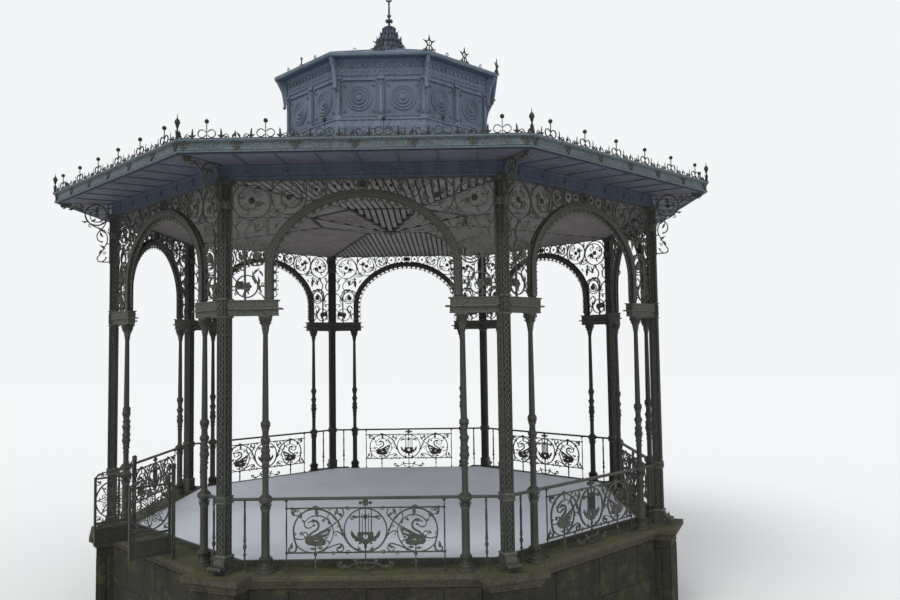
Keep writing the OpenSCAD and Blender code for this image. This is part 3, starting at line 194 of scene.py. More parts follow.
def moved(shape, origin=(0, 0, 0), x=(1, 0, 0), y=(0, 1, 0), z=(0, 0, 1)):
    """The shape with its own axes laid along x, y and z from origin: p = origin + px x + py y + pz z."""
    p, q, t = shape
    axes = np.array([x, y, z], float)
    out = np.asarray(origin, float) + p @ axes
    return (out, q[:, ::-1], t[:, ::-1]) if np.linalg.det(axes) < 0 else (out, q, t)


def turned(shape, angle):
    """The shape turned about +Z by angle."""
    c, s = math.cos(angle), math.sin(angle)
    return moved(shape, x=(c, s, 0), y=(-s, c, 0))


def around(shape, count, first=0.0):
    """The shape, drawn with -y outwards, at count even steps about +Z."""
    return join([turned(shape, first + math.tau * k / count) for k in range(count)])


def in_bays(shape, bays=SIDES):
    """The shape, drawn for the front bay, repeated in the first so many bays."""
    return join([turned(shape, TURN * i) for i in range(bays)])


def at_corners(shape, radius=PIER_R, corners=SIDES):
    """The shape, drawn round its own axis with -y outwards, on a circle at the first so many corners."""
    out = moved(shape, (0, -radius, 0))
    return join([turned(out, TURN * i + HALF) for i in range(corners)])


def on_line(shape, z=COPING_Z, bays=SIDES):
    """A shape drawn on a bay's line with its own levels from z, in the first so many bays."""
    return in_bays(moved(shape, (0, -LINE_AP, z)), bays)


def mirrored(shape):
    """The shape and its mirror image in x."""
    return join([shape, moved(shape, x=(-1, 0, 0))])


def both_faces(shape):
    """The shape and its mirror image in y."""
    return join([shape, moved(shape, y=(0, -1, 0))])


def facing(shape, x, z, y=0.0):
    """A shape turned about +Z, laid so that its top looks out along -y, at (x, z)."""
    return moved(shape, (x, y, z), y=(0, 0, 1), z=(0, -1, 0))


def run_out(shape, origin=(0, 0, 0)):
    """A shape drawn upright along x, laid so that its x runs outwards along -y from origin."""
    return moved(shape, origin, (0, -1, 0), (1, 0, 0))


def copies(shape, places):
    """The shape at each of the places: p + place."""
    p, q, t = shape
    places = np.asarray(places, float)
    step = np.arange(len(places))[:, None, None] * len(p)
    return (p[None] + places[:, None]).reshape(-1, 3), (q[None] + step).reshape(-1, 4), (t[None] + step).reshape(-1, 3)


def outward(shape):
    """The closed shape with its faces turned outwards: they turn if the sum of p0 . (p1 x p2) is negative."""
    p, q, t = shape
    tris = np.concatenate([q[:, [0, 1, 2]], q[:, [0, 2, 3]], t])
    volume = np.einsum("ij,ij->i", p[tris[:, 0]], np.cross(p[tris[:, 1]], p[tris[:, 2]])).sum()
    return (p, q[:, ::-1], t[:, ::-1]) if volume < 0 else shape


def closed_tube(rings):
    """The closed shape through rings of points, [ring, point, xyz], with a fan of triangles over each end."""
    rings = np.asarray(rings, float)
    rows, cols = rings.shape[:2]
    first = np.arange(cols)
    second, last = (first + 1) % cols, (rows - 1) * cols
    low, high = np.full(cols, rows * cols), np.full(cols, rows * cols + 1)
    tris = np.concatenate([np.stack([low, first, second], -1), np.stack([high, last + second, last + first], -1)])
    points = np.concatenate([rings.reshape(-1, 3), [rings[0].mean(0), rings[-1].mean(0)]])
    return outward((points, quads_of(rows, cols), tris))


def closed_ring(rings):
    """The closed shape through rings of points whose last joins the first."""
    return outward((rings.reshape(-1, 3), quads_of(*rings.shape[:2], True), np.zeros((0, 3), int)))


def swept(path, section, scale=1.0, out=(0, 1, 0)):
    """Carries a closed section [(a, b)] along a path: p = path + scale (a side + b up).

    side is square to the path and to out, and up is square to the path and to side.
    """
    path, section = np.asarray(path, float), np.asarray(section, float)
    tangent = np.gradient(path, axis=0)
    tangent /= np.linalg.norm(tangent, axis=1)[:, None]
    side = np.cross(tangent, np.asarray(out, float))
    side /= np.linalg.norm(side, axis=1)[:, None]
    up = np.cross(side, tangent)
    k = np.broadcast_to(np.asarray(scale, float), len(path))[:, None, None]
    return closed_tube(path[:, None] + k * (section[:, :1] * side[:, None] + section[:, 1:] * up[:, None]))


def oval_section(a_half, b_half, sides=4):
    """Points of a flattened circle whose flats lie at a_half and b_half, for swept()."""
    a = np.arange(sides) * math.tau / sides + math.pi / sides
    k = 1 / math.cos(math.pi / sides)
    return np.stack([a_half * k * np.cos(a), b_half * k * np.sin(a)], -1)


def lathe(profile, sides, lobes=0, depth=0.0):
    """Turns a profile [(radius, level)] about +Z: p = (r cos t, r sin t, z), with r (1 + depth cos(lobes t))."""
    r, z = np.asarray(profile, float).T[:, :, None]
    t = np.arange(sides) * math.tau / sides
    rr = r * (1 + np.broadcast_to(depth, len(r))[:, None] * np.cos(lobes * t))
    return closed_tube(np.stack([rr * np.cos(t), rr * np.sin(t), np.broadcast_to(z, rr.shape)], -1))


def drawn_out(section, x0, x1):
    """A closed section [(y, z)] drawn out along x from x0 to x1."""
    return closed_tube([np.insert(np.asarray(section, float), 0, x, 1) for x in (x0, x1)])


def square_moulding(profile):
    """A moulding [(half width, level)] round a square shaft: the profile turned about +Z in four steps."""
    half, z = np.asarray(profile, float).T[:, :, None]
    t = math.pi / 4 + np.arange(4) * math.pi / 2
    r = half * math.sqrt(2)
    return closed_tube(np.stack([r * np.cos(t), r * np.sin(t), np.broadcast_to(z, (len(r), 4))], -1))


def octagon_strip(profile):
    """A moulding [(distance square to a bay, level)] carried round the octagon, as a closed ring."""
    ap, z = np.asarray(profile, float).T
    t = (HALF + np.arange(SIDES) * TURN)[:, None]
    r = ap * CORNER
    return closed_ring(np.stack([r * np.cos(t), r * np.sin(t), np.broadcast_to(z, (SIDES, len(r)))], -1))


def box(w, d, h, centre):
    """A box about centre: its lower and its upper face, a quad between each two of their corners."""
    rim = np.array([[-w, -d], [w, -d], [w, d], [-w, d]]) / 2
    points = np.concatenate([np.insert(rim, 2, level, 1) for level in (-h / 2, h / 2)]) + np.asarray(centre, float)
    quads = np.array([[0, 3, 2, 1], [4, 5, 6, 7], [0, 1, 5, 4], [1, 2, 6, 5], [2, 3, 7, 6], [3, 0, 4, 7]])
    return points, quads, np.zeros((0, 3), int)


def block(w, d, h, centre, bevel=0.008):
    """A stone with a bevelled front face: a box whose -y face is drawn in by the bevel."""
    x, z = w / 2, h / 2
    back = np.array([[-x, d / 2, -z], [x, d / 2, -z], [x, d / 2, z], [-x, d / 2, z]])
    shoulder = back * (1, 0, 1) + (0, -d / 2 + bevel, 0)
    face = back * ((x - bevel) / x, 0, (z - bevel) / z) + (0, -d / 2, 0)
    return closed_tube(np.stack([back, shoulder, face]) + np.asarray(centre, float))


def slab(corners, rise):
    """A board between these four corners and the same corners lifted by rise."""
    corners = np.asarray(corners, float)
    return closed_tube([corners, corners + (0, 0, rise)])


def ball(radius, centre=(0, 0, 0), sides=6, rows=3):
    """A ball: p = centre + radius (cos t sin f, sin t sin f, cos f)."""
    f = np.linspace(0.28, math.pi - 0.28, rows)
    return moved(lathe(np.stack([radius * np.sin(f), radius * np.cos(f)], -1), sides), centre)


def rosette(radius, height, petals=6):
    """A flower that stands on z = 0: rings whose radius swings with the petals, round a raised eye."""
    profile = [[0.9, 0], [1, 0.35], [0.78, 0.75], [0.42, 0.4], [0.3, 0.95], [0.12, 1.1]]
    return lathe(np.array(profile) * (radius, height), petals * 4, petals, [0.14, 0.16, 0.14, 0.05, 0, 0])


# Bars and leaves in an upright plane, x to the side and z up, with headings in degrees from x towards z

def upright(points):
    """Points of a plane set upright: (a, b) becomes (a, 0, b)."""
    return np.insert(np.asarray(points, float), 1, 0.0, 1)


def walk(x, z, headings, steps):
    """Points from (x, z) by these steps at these headings: running sums of step (cos, sin)."""
    moves = np.stack([np.cos(headings), np.sin(headings)], -1) * np.reshape(steps, (-1, 1))
    return np.concatenate([[[0, 0]], np.cumsum(moves, 0)]) + (x, z)


def blade(x, z, heading, length, width, bend=0.0, rows=6, thick=0.016, lobes=0):
    """A flat leaf: a lens carried along a line that turns by bend, as wide as sin(pi u^0.7) with lobes."""
    u = np.linspace(0.04, 0.985, rows + 1)
    half = np.sin(math.pi * u ** 0.7) * (1 + (0.28 * np.cos(math.tau * lobes * u) if lobes else 0)) + 0.06
    section = [(width / 2, 0), (0, thick / 2), (-width / 2, 0), (0, -thick / 2)]
    headings = math.radians(heading) + math.radians(bend) * (np.arange(rows) + 0.5) / rows
    return swept(upright(walk(x, z, headings, np.full(rows, length / rows))), section, half)


def curl(x, z, heading, radius, turn=400, w=0.012, d=0.018, steps=11, shrink=0.22):
    """A bar that winds up to a bead: its radius falls to shrink times itself while its heading swings by turn."""
    k = (np.arange(steps) + 0.5) / steps
    headings = math.radians(heading) + math.radians(turn) * k
    line = walk(x, z, headings, radius * (1 - (1 - shrink) * k) * math.radians(abs(turn)) / steps)
    bar = swept(upright(line), oval_section(w / 2, d / 2), np.linspace(1.0, 0.7, steps + 1))
    return join([bar, ball(w * 0.8, (line[-1, 0], 0, line[-1, 1]))])


def ring(x, z, radius, w=0.012, d=0.018, steps=14, start=0.0, sweep=360.0):
    """A flat ring, or part of one."""
    a = np.radians(start) + np.radians(sweep) * np.arange(steps + 1)[:, None] / steps
    section = oval_section(w / 2, d / 2)
    if sweep < 360:
        return swept(upright(np.hstack([x + radius * np.cos(a), z + radius * np.sin(a)])), section)
    r, a = radius + section[:, 0], a[:-1]
    return closed_ring(np.stack([x + r * np.cos(a), np.broadcast_to(section[:, 1], (steps, 4)), z + r * np.sin(a)], -1))


def blades(table, rows=6, thick=0.020, lobes=2, slim=1.0):
    """Blades from a table of (x, z, heading, length, width, bend), their widths times slim."""
    return join([blade(x, z, heading, long, wide * slim, bend, rows, thick, lobes)
                 for x, z, heading, long, wide, bend in table])


def curls(table, w=0.012, d=0.018, steps=11):
    """Curls from a table of (x, z, heading, radius, turn)."""
    return join([curl(*row, w, d, steps) for row in table])


def frond(length, width, lift=0.15, bend=1.9, thick=0.008, rows=7, lobes=3):
    """A modelled leaf that grows up from the origin with its face to -y and its tip curling outwards.

    Its middle line leans by lift + bend u^2 from upright, its half width follows sin(pi u^0.6) with lobes,
    its front is raised along the middle and its back is hollow.
    """
    u = np.linspace(0, 1, rows + 1)
    lean = lift + bend * ((u[:-1] + u[1:]) / 2) ** 2
    steps = np.stack([np.zeros(rows), -np.sin(lean), np.cos(lean)], -1) * length / rows
    middle = np.concatenate([[[0, 0, 0]], np.cumsum(steps, 0)])
    lean = lift + bend * u ** 2
    normal = np.stack([np.zeros(rows + 1), -np.cos(lean), -np.sin(lean)], -1)
    half = width / 2 * (np.sin(math.pi * (0.12 + 0.86 * u) ** 0.6) * (1 + 0.16 * np.cos(math.tau * lobes * u)) + 0.05)
    across = np.array([-1, -0.55, 0, 0.55, 1, 0])
    rise = np.array([0.0, 0.10, 0.24, 0.10, 0.0, 0.0])
    back = np.array([0, 0, 0, 0, 0, 1]) * thick
    rings = middle[:, None] + np.array([1.0, 0, 0]) * (half[:, None] * across)[..., None]
    return closed_tube(rings + normal[:, None] * (half[:, None] * rise + thick * 0.5 - back)[..., None])


def whorl(count, out, level, leaf, first=0.0):
    """Count leaves round an axis at that distance and level, each as frond() draws it."""
    return around(moved(frond(*leaf), (0, -out, level)), count, first)


def beads(count, out, level, radius, sides=6):
    """Count balls round an axis at that distance and level."""
    return around(ball(radius, (0, -out, level), sides), count)


# Finishes

# The finish of the frame's own pieces, by slot, and of those that differ from their slot
SLOT_FINISH = {"iron": "iron_paint", "zinc": "zinc_paint", "girder_paint": "navy_paint", "boards": "board_gap",
               "stone": "base_stone_shade_and_moss", "floor_paving": "pale_paving"}
NODE_FINISH = {
    "roof": "roof_zinc", "drum_roof": "roof_zinc", "drum_base": "drum_zinc", "drum_wall": "drum_zinc",
    "drum_frieze": "drum_zinc", "drum_eave_ring": "drum_zinc", "soffit": "soffit_paint", "ceiling_ribs": "board_gap",
    "finial": "finial_paint", "eave_cresting": "iron_dark", "drum_cresting": "iron_dark", "coping": "coping_stone",
    "pedestal_caps": "coping_stone",
}
MOSS_COLOUR = (0.30, 0.31, 0.17)


def feed(tree, socket, source):
    """Links a socket to another node's output, or gives it a number or a colour."""
    if isinstance(source, bpy.types.NodeSocket):
        tree.links.new(source, socket)
    else:
        socket.default_value = source


def node(tree, kind, inputs, **settings):
    """A new node with these settings, its inputs fed by name or number."""
    made = tree.nodes.new(kind)
    for key, value in settings.items():
        setattr(made, key, value)
    for key, source in inputs.items():
        feed(tree, made.inputs[key], source)
    return made


def maths(tree, operation, *values):
    """The outcome of a sum with these values."""
    return node(tree, "ShaderNodeMath", dict(enumerate(values)), operation=operation).outputs[0]


def mixed(tree, factor, a, b):
    """The colour a mixed with b by factor."""
    return node(tree, "ShaderNodeMix", {0: factor, 6: a, 7: b}, data_type="RGBA", clamp_factor=True).outputs[2]


def ramp(tree, value, low, high):
    """Maps value from low..high to 0..1 smoothly."""
    return node(tree, "ShaderNodeMapRange", {"Value": value, "From Min": low, "From Max": high},
                interpolation_type="SMOOTHSTEP").outputs["Result"]


def noise(tree, vector, scale, detail, rough=0.55):
    """A noise texture's value at that scale."""
    return node(tree, "ShaderNodeTexNoise",
                {"Vector": vector, "Scale": scale, "Detail": detail, "Roughness": rough}).outputs["Fac"]


def object_place(tree, scale):
    """The object's own coordinates times scale."""
    place = node(tree, "ShaderNodeTexCoord", {}).outputs["Object"]
    return node(tree, "ShaderNodeVectorMath", {0: place, "Scale": scale}, operation="SCALE").outputs[0]


def group(name, colours_in, values_in, outputs):
    """A shader node group with sockets of these names, and its tree, its inputs' sources and its outputs' sockets."""
    tree = bpy.data.node_groups.new(name, "ShaderNodeTree")
    for title, kind, direction in ([(title, "NodeSocketColor", "INPUT") for title in colours_in]
                                   + [(title, "NodeSocketFloat", "INPUT") for title in values_in]
                                   + [(title, kind, "OUTPUT") for title, kind in outputs]):
        tree.interface.new_socket(name=title, in_out=direction, socket_type=kind)
    return tree, tree.nodes.new("NodeGroupInput").outputs, tree.nodes.new("NodeGroupOutput").inputs


def weather_group():
    """Broad stains, fine grain and pale worn edges over a base colour."""
    tree, given, out = group("Weathering", ("Color", "Stain", "Pale"),
                             ("Scale", "Stain Amount", "Edge Amount", "Roughness", "Grain"),
                             (("Color", "NodeSocketColor"), ("Roughness", "NodeSocketFloat"),
                              ("Height", "NodeSocketFloat")))
    place = object_place(tree, given["Scale"])
    broad = noise(tree, place, 1.7, 5.0)
    tall_place = node(tree, "ShaderNodeMapping", {"Vector": place, "Scale": (9.0, 9.0, 0.9)}).outputs[0]
    streaks = noise(tree, tall_place, 1.0, 3.0)
    fine = noise(tree, place, 46.0, 3.0, 0.6)
    stain = ramp(tree, maths(tree, "MULTIPLY", broad, streaks), 0.16, 0.42)
    colour = mixed(tree, maths(tree, "MULTIPLY", stain, given["Stain Amount"]), given["Color"], given["Stain"])
    edge = ramp(tree, node(tree, "ShaderNodeNewGeometry", {}).outputs["Pointiness"], 0.52, 0.60)
    worn = maths(tree, "MULTIPLY", edge, ramp(tree, fine, 0.35, 0.62))
    colour = mixed(tree, maths(tree, "MULTIPLY", worn, given["Edge Amount"]), colour, given["Pale"])
    speck = maths(tree, "MULTIPLY", ramp(tree, fine, 0.30, 0.75), given["Grain"])
    feed(tree, out["Color"], mixed(tree, speck, colour, mixed(tree, 0.35, colour, given["Pale"])))
    rough = maths(tree, "MULTIPLY_ADD", broad, 0.25, given["Roughness"])
    feed(tree, out["Roughness"], maths(tree, "SUBTRACT", rough, 0.12))
    feed(tree, out["Height"], fine)


def moss_group():
    """Moss and lichen in patches, more of it on faces that look up."""
    tree, given, out = group("Moss", ("Color", "Moss"), ("Amount", "Scale"), (("Color", "NodeSocketColor"),))
    patches = noise(tree, object_place(tree, given["Scale"]), 3.1, 8.0, 0.65)
    normal = node(tree, "ShaderNodeNewGeometry", {}).outputs["Normal"]
    up = node(tree, "ShaderNodeSeparateXYZ", {0: normal}).outputs["Z"]
    mask = ramp(tree, maths(tree, "MULTIPLY_ADD", up, 0.10, patches), 0.50, 0.66)
    feed(tree, out["Color"], mixed(tree, maths(tree, "MULTIPLY", mask, given["Amount"]), given["Color"], given["Moss"]))


def shaded(name, specular):
    """A new material with a bare Principled BSDF, and its tree and shader."""
    material = bpy.data.materials.new(name)
    material.use_nodes = True
    shader = material.node_tree.nodes["Principled BSDF"]
    shader.inputs["Specular IOR Level"].default_value = specular
    return material, material.node_tree, shader


def linear(colour):
    """A display colour as a linear one with alpha."""
    c = np.array(colour[:3], float)
    return (*np.where(c <= 0.04045, c / 12.92, ((c + 0.055) / 1.055) ** 2.4).tolist(), 1.0)


def darker(colour, k):
    """The display colour times k."""
    return tuple(v * k for v in colour)


def painted(name, colour, stain, pale, scale, stains, edges, rough, grain=0.2, bump=0.15, moss=0.0, specular=0.28):
    """A weathered finish: the Weathering group, moss where asked, and a fine bump."""
    _, tree, shader = shaded(name, specular)
    weather = node(tree, "ShaderNodeGroup", {
        "Color": linear(colour), "Stain": linear(stain), "Pale": linear(pale), "Scale": scale, "Stain Amount": stains,
        "Edge Amount": edges, "Roughness": rough, "Grain": grain}, node_tree=bpy.data.node_groups["Weathering"]).outputs
    colour = weather["Color"]
    if moss:
        colour = node(tree, "ShaderNodeGroup", {
            "Color": colour, "Moss": linear(MOSS_COLOUR), "Amount": moss, "Scale": 1.0},
            node_tree=bpy.data.node_groups["Moss"]).outputs["Color"]
    relief = node(tree, "ShaderNodeBump", {"Height": weather["Height"], "Strength": bump, "Distance": 0.004}).outputs[0]
    for socket, source in (("Base Color", colour), ("Roughness", weather["Roughness"]), ("Normal", relief)):
        feed(tree, shader.inputs[socket], source)


def put(name, shape, finish, smooth=35.0, body="stand", replaces=()):
    """Makes the shape an object in the frame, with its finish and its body."""
    points, quads, tris = shape
    mesh = bpy.data.meshes.new(name)
    mesh.vertices.add(len(points))
    mesh.vertices.foreach_set("co", np.asarray(points, np.float32).ravel())
    loops = np.concatenate([quads.ravel(), tris.ravel()]).astype(np.int32)
    counts = np.concatenate([np.full(len(quads), 4), np.full(len(tris), 3)])
    mesh.loops.add(len(loops))
    mesh.loops.foreach_set("vertex_index", loops)
    mesh.polygons.add(len(counts))
    mesh.polygons.foreach_set("loop_start", np.concatenate([[0], np.cumsum(counts)[:-1]]).astype(np.int32))
    mesh.polygons.foreach_set("use_smooth", np.ones(len(counts), bool))
    mesh.update(calc_edges=True)
    mesh.validate()
    mesh.set_sharp_from_angle(angle=math.radians(smooth))
    mesh.materials.append(bpy.data.materials[finish])
    made = bpy.data.objects.new(name, mesh)
    bpy.context.scene.collection.objects.link(made)
    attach(made, body)
    if replaces:
        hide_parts(*replaces)


def dress():
    """Gives the frame's own pieces their finishes."""
    for part in frame["record"]["subparts"]:
        mesh = frame["nodes"][part["node"]].data
        mesh.materials.clear()
        mesh.materials.append(bpy.data.materials[NODE_FINISH.get(part["node"], SLOT_FINISH[part["material_slot"]])])


# The stone base and the raised floor

def base_stones():
    """Two courses of bevelled stones on each wall face, and joints between them."""
    joint, wall, course = sizes().stone_joint, 1.500, 0.70
    parts = []
    for z0, z1, ends in ((0.0, course, (-wall, -0.47, 0.52, wall)),
                         (course, WALL_TOP, (-wall, -0.98, 0.02, 1.01, wall))):
        for x0, x1 in zip(ends[:-1], ends[1:]):
            centre = ((x0 + x1) / 2, -WALL_AP - 0.006, (z0 + z1) / 2)
            parts.append(block(x1 - x0 - joint, 0.016, z1 - z0 - joint, centre))
    return in_bays(join(parts))


def pedestal_face(half, flutes):
    """Upright flutes between two plain bands on one face of a pedestal, half as wide as given."""
    low, high = 0.165, WALL_TOP - 0.145
    pitch = 2 * half / flutes
    parts = [block(2 * half - 0.01, 0.014, 0.15, (0, -0.005, 0.078), 0.006),
             block(2 * half - 0.01, 0.014, 0.12, (0, -0.005, WALL_TOP - 0.064), 0.006)]
    for k in range(flutes):
        x = (k + 0.5 - flutes / 2) * pitch
        parts.append(block(pitch - 0.028, 0.018, high - low, (x, -0.006, (low + high) / 2), 0.012))
    return join(parts)


def pedestal_stones():
    """The fluted front and sides of the eight pedestals."""
    front = moved(pedestal_face(0.33, 5), (0, -0.20, 0))
    side = pedestal_face(0.19, 3)
    sides = [moved(side, (turn * 0.33, 0.01, 0), (0, turn, 0), (-turn, 0, 0)) for turn in (1, -1)]
    return at_corners(join([front, *sides]))


def floor_edge():
    """A thin iron edge round the raised floor."""
    return octagon_strip([[FLOOR_AP + out, z] for out, z in (
        (0.001, COPING_Z + 0.004), (0.010, COPING_Z + 0.004), (0.012, FLOOR_Z - 0.006), (0.004, FLOOR_Z + 0.003),
        (-0.020, FLOOR_Z + 0.003), (-0.020, FLOOR_Z + 0.0005), (0.001, FLOOR_Z - 0.002))])


# Piers and slender columns

def pier_braid(z0, z1, depth):
    """Two bars that wind round each other up a pier's face, x = sin(pi z / step), with a stud in each eye."""
    eyes = max(2, round((z1 - z0) / sizes().braid_pitch))
    step = (z1 - z0) / eyes
    z = np.linspace(z0, z1, 4 * eyes + 1)
    wave = 0.033 * np.sin(math.pi * (z - z0) / step)
    bars = [swept(np.stack([side * wave, np.full(len(z), depth), z], -1), oval_section(0.0048, 0.0080))
            for side in (-1, 1)]
    rim = np.array([[-1, 0, 0], [0, 0, -1.6], [1, 0, 0], [0, 0, 1.6]])
    stud = closed_tube([rim * 0.012, rim * 0.005 + (0, -0.010, 0)])
    return join([*bars, copies(stud, [(0, depth + 0.003, z0 + (k + 0.5) * step) for k in range(eyes)])])


def pier_reliefs(shade_plates):
    """The braids in the piers' panels and on their plain length between the imposts, or the dark plates of painted
    shade behind them.
    """
    faces = []
    for panels, count, shade_plate_y, braid, over in ((PIER_PANELS, 4, 0.0065, 0.004, 0.018),
                                               ((PIER_PLAIN,), 2, -0.001, -0.004, 0.012)):
        for z0, z1 in panels:
            # Each dark plate behind a braid is painted shade
            if shade_plates:
                face = box(0.094, 0.003, z1 - z0 + over, (0, shade_plate_y - PIER_W / 2, (z0 + z1) / 2))
            else:
                face = pier_braid(z0, z1, braid - PIER_W / 2)
            faces.append(around(face, count))
    return moved(at_corners(join(faces)), (0, 0, COPING_Z))


def pier_foot():
    """The ribbed roll in front of a pier's foot, a snail and two leaves at each end of it and a row of tongues."""
    out, z = -PIER_W / 2 - 0.114, 0.086
    x = np.linspace(-0.5, 0.5, 43)
    ribs = 0.0275 + 0.0050 * np.abs(np.cos(math.pi * 7 * x))
    parts = [moved(lathe(np.stack([ribs, x * (PIER_W + 0.034)], -1), 14), (0, out, z), (0, 1, 0), (0, 0, 1), (1, 0, 0))]
    snail = join([curl(0, 0.026, 180, 0.026, 600, 0.008, 0.014, 16, 0.15),
                  blade(0.03, 0.004, 60, 0.10, 0.030, 40, 6, 0.012), blade(0.06, -0.018, 20, 0.05, 0.024, 60, 4, 0.01)])
    for side in (-1, 1):
        parts.append(moved(snail, (side * (PIER_W / 2 + 0.019), out, z), (0, 1, 0), (1, 0, 0)))
    tongue = moved(frond(0.125, 0.042, 0.95, -0.9, 0.010, 6, 1), (0, out + 0.042, z + 0.014), y=(0, -1, 0))
    return join([*parts, copies(tongue, [(x, 0, 0) for x in (-0.068, -0.023, 0.023, 0.068)])])


def pier_ornament():
    """Mouldings on each pier's band and capital, leaves round its capital and the roll at its foot."""
    w = PIER_W / 2
    band = ((0.002, -0.009), (0.016, -0.008), (0.0195, 0), (0.016, 0.008), (0.002, 0.009))
    mouldings = [[(out, z + up) for out, up in band] for z in (0.896, 0.978)]
    mouldings += [((0.001, 4.740), (0.012, 4.748), (0.016, 4.762), (0.004, 4.772)),
                  ((0.001, 3.296), (0.013, 3.302), (0.016, 3.314), (0.001, 3.322)),
                  ((0.001, 3.532), (0.016, 3.536), (0.016, 3.548), (0.001, 3.556)),
                  ((0.019, 0.206), (0.026, 0.214), (0.022, 0.226), (0.002, 0.240))]
    parts = [square_moulding([(w + out, z) for out, z in profile]) for profile in mouldings]
    face = [facing(rosette(0.020, 0.009, 4), x, 0.937, -w - 0.012) for x in (-0.050, 0.0, 0.050)]
    face += [moved(frond(0.105, 0.075, 0.08, 1.2, 0.008, 5), (x, -w - 0.001, 4.772)) for x in (-0.046, 0.046)]
    face += [moved(frond(0.085, 0.060, 0.08, 1.2, 0.008, 5), (0, -w - 0.003, 4.775)),
             facing(rosette(0.026, 0.014, 4), 0, 4.897, -w - 0.022)]
    return moved(at_corners(join([*parts, around(join(face), 4), pier_foot()])), (0, 0, COPING_Z))


# Radius and level of a slender column: plinth, collar at the handrail, three rings over it, taper and bell
COLUMN_PROFILE = (
    (0.113, 0.000), (0.113, 0.026), (0.097, 0.040), (0.097, 0.064), (0.079, 0.084), (0.079, 0.170), (0.083, 0.176),
    (0.083, 0.190), (0.060, 0.200), (0.060, 0.218), (0.0535, 0.226), (0.053, 0.55), (0.0525, 0.870), (0.067, 0.880),
    (0.067, 0.893), (0.081, 0.897), (0.089, 0.915), (0.089, 0.955), (0.073, 0.973), (0.059, 0.985), (0.046, 0.996),
    (0.0405, 1.020), (0.0405, 1.275), (0.049, 1.285), (0.049, 1.300), (0.042, 1.308), (0.042, 1.345), (0.052, 1.353),
    (0.052, 1.372), (0.043, 1.380), (0.045, 1.425), (0.057, 1.455), (0.063, 1.480), (0.060, 1.505), (0.050, 1.518),
    (0.056, 1.535), (0.059, 1.560), (0.049, 1.590), (0.0415, 1.605), (0.0415, 1.655), (0.052, 1.672), (0.064, 1.688),
    (0.064, 1.706), (0.055, 1.720), (0.044, 1.735), (0.041, 1.780), (0.043, 1.840), (0.051, 1.872), (0.062, 1.895),
    (0.064, 1.915), (0.057, 1.935), (0.044, 1.945), (0.0415, 1.975), (0.041, 2.10), (0.0365, 2.60), (0.032, 3.068),
    (0.032, 3.080), (0.040, 3.090), (0.040, 3.104), (0.032, 3.112), (0.034, 3.150), (0.045, 3.200), (0.064, 3.240),
    (0.078, 3.262), (0.084, 3.290), (0.092, 3.296), (0.092, 3.325))
# Distance from the axis, level, eighths of a turn and frond of each whorl of eight leaves on a slender column
COLUMN_WHORLS = (
    (0.033, 3.112, 0, (0.140, 0.046, 0.05, 1.1)), (0.043, 3.180, 0.5, (0.100, 0.046, 0.16, 1.0, 0.008, 5)),
    (COLUMN_R + 0.024, 0.096, 0, (0.085, 0.052, 0.12, 0.9, 0.008, 5)),
    (COLUMN_R, 0.790, 0, (0.090, 0.046, 0.10, 0.8, 0.008, 5, 1)),
    (0.043, 1.400, 0, (0.080, 0.034, 0.06, 0.9, 0.007, 5, 1)),
    (0.041, 1.625, 0.5, (0.070, 0.034, 0.06, 0.9, 0.007, 5, 1)),
    (0.042, 1.820, 0, (0.075, 0.034, 0.06, 0.9, 0.007, 5, 1)))


def all_columns(shape):
    """A shape drawn round one slender column's axis, at all sixteen."""
    return on_line(mirrored(moved(shape, (COLUMN_X, 0, 0))))


def column_ornament():
    """Leaves and beads on one slender column, about its own axis."""
    parts = [whorl(8, out, z, leaf, share * TURN) for out, z, share, leaf in COLUMN_WHORLS]
    parts.append(around(facing(rosette(0.017, 0.012, 4), 0, 3.276, -0.084), 4, math.pi / 4))
    parts.append(beads(20, 0.0885, 0.935, 0.009, 5))
    parts += [beads(16, out, z, 0.0065, 5) for out, z in ((0.052, 1.362), (0.058, 1.570))]
    return join(parts)


# Arches, impost beams and spandrels

def arch_line(offset, step):
    """Points of the line at that offset outside the arch's centre line, and its outward normals, even steps apart.

    The line has a straight leg, a haunch arc about (c1, 0), a crown arc about (0, c2), and the same mirrored.
    """
    c1, c2 = ARCH_HALF - HAUNCH_R, ARCH_RISE - CROWN_R
    meet, fine = math.atan2(-c2, c1), 0.004
    leg = np.arange(-ARCH_LEG, 0, fine)
    points = [np.stack([np.full(len(leg), ARCH_HALF + offset), leg], -1)]
    normals = [np.tile([1.0, 0.0], (len(leg), 1))]
    for cx, cz, r, a0, a1 in ((c1, 0, HAUNCH_R, 0, meet), (0, c2, CROWN_R, meet, math.pi / 2)):
        a = np.linspace(a0, a1, int((a1 - a0) * r / fine))
        normals.append(np.stack([np.cos(a), np.sin(a)], -1))
        points.append(normals[-1] * (r + offset) + (cx, cz))
    points, normals = (np.concatenate([*half, np.concatenate(half)[-2::-1] * (-1, 1)]) for half in (points, normals))
    run = np.concatenate([[0], np.cumsum(np.linalg.norm(np.diff(points, axis=0), axis=1))])
    pick = np.searchsorted(run, np.linspace(step / 2, run[-1] - step / 2, int(run[-1] / step)))
    return points[pick], normals[pick]


def arch_fringe():
    """Drops along the inner edge of each arch with a scallop between each two."""
    drop = join([blade(0, 0.004, -90, 0.060, 0.042, 0, 5, 0.020), ball(0.0095, (0, 0, -0.062), 6, 4)])
    scallop = ring(0, 0.0, 0.045, 0.010, 0.018, 8, 180, 180)
    places = list(zip(*arch_line(-ARCH_W / 2, sizes().fringe_pitch)))
    parts = [moved(scallop if k % 2 else drop, (x, 0, z), (nz, 0, -nx), (0, 1, 0), (nx, 0, nz))
             for k, ((x, z), (nx, nz)) in enumerate(places) if 0 < k < len(places) - 1]
    return on_line(join(parts), SPRING_Z)


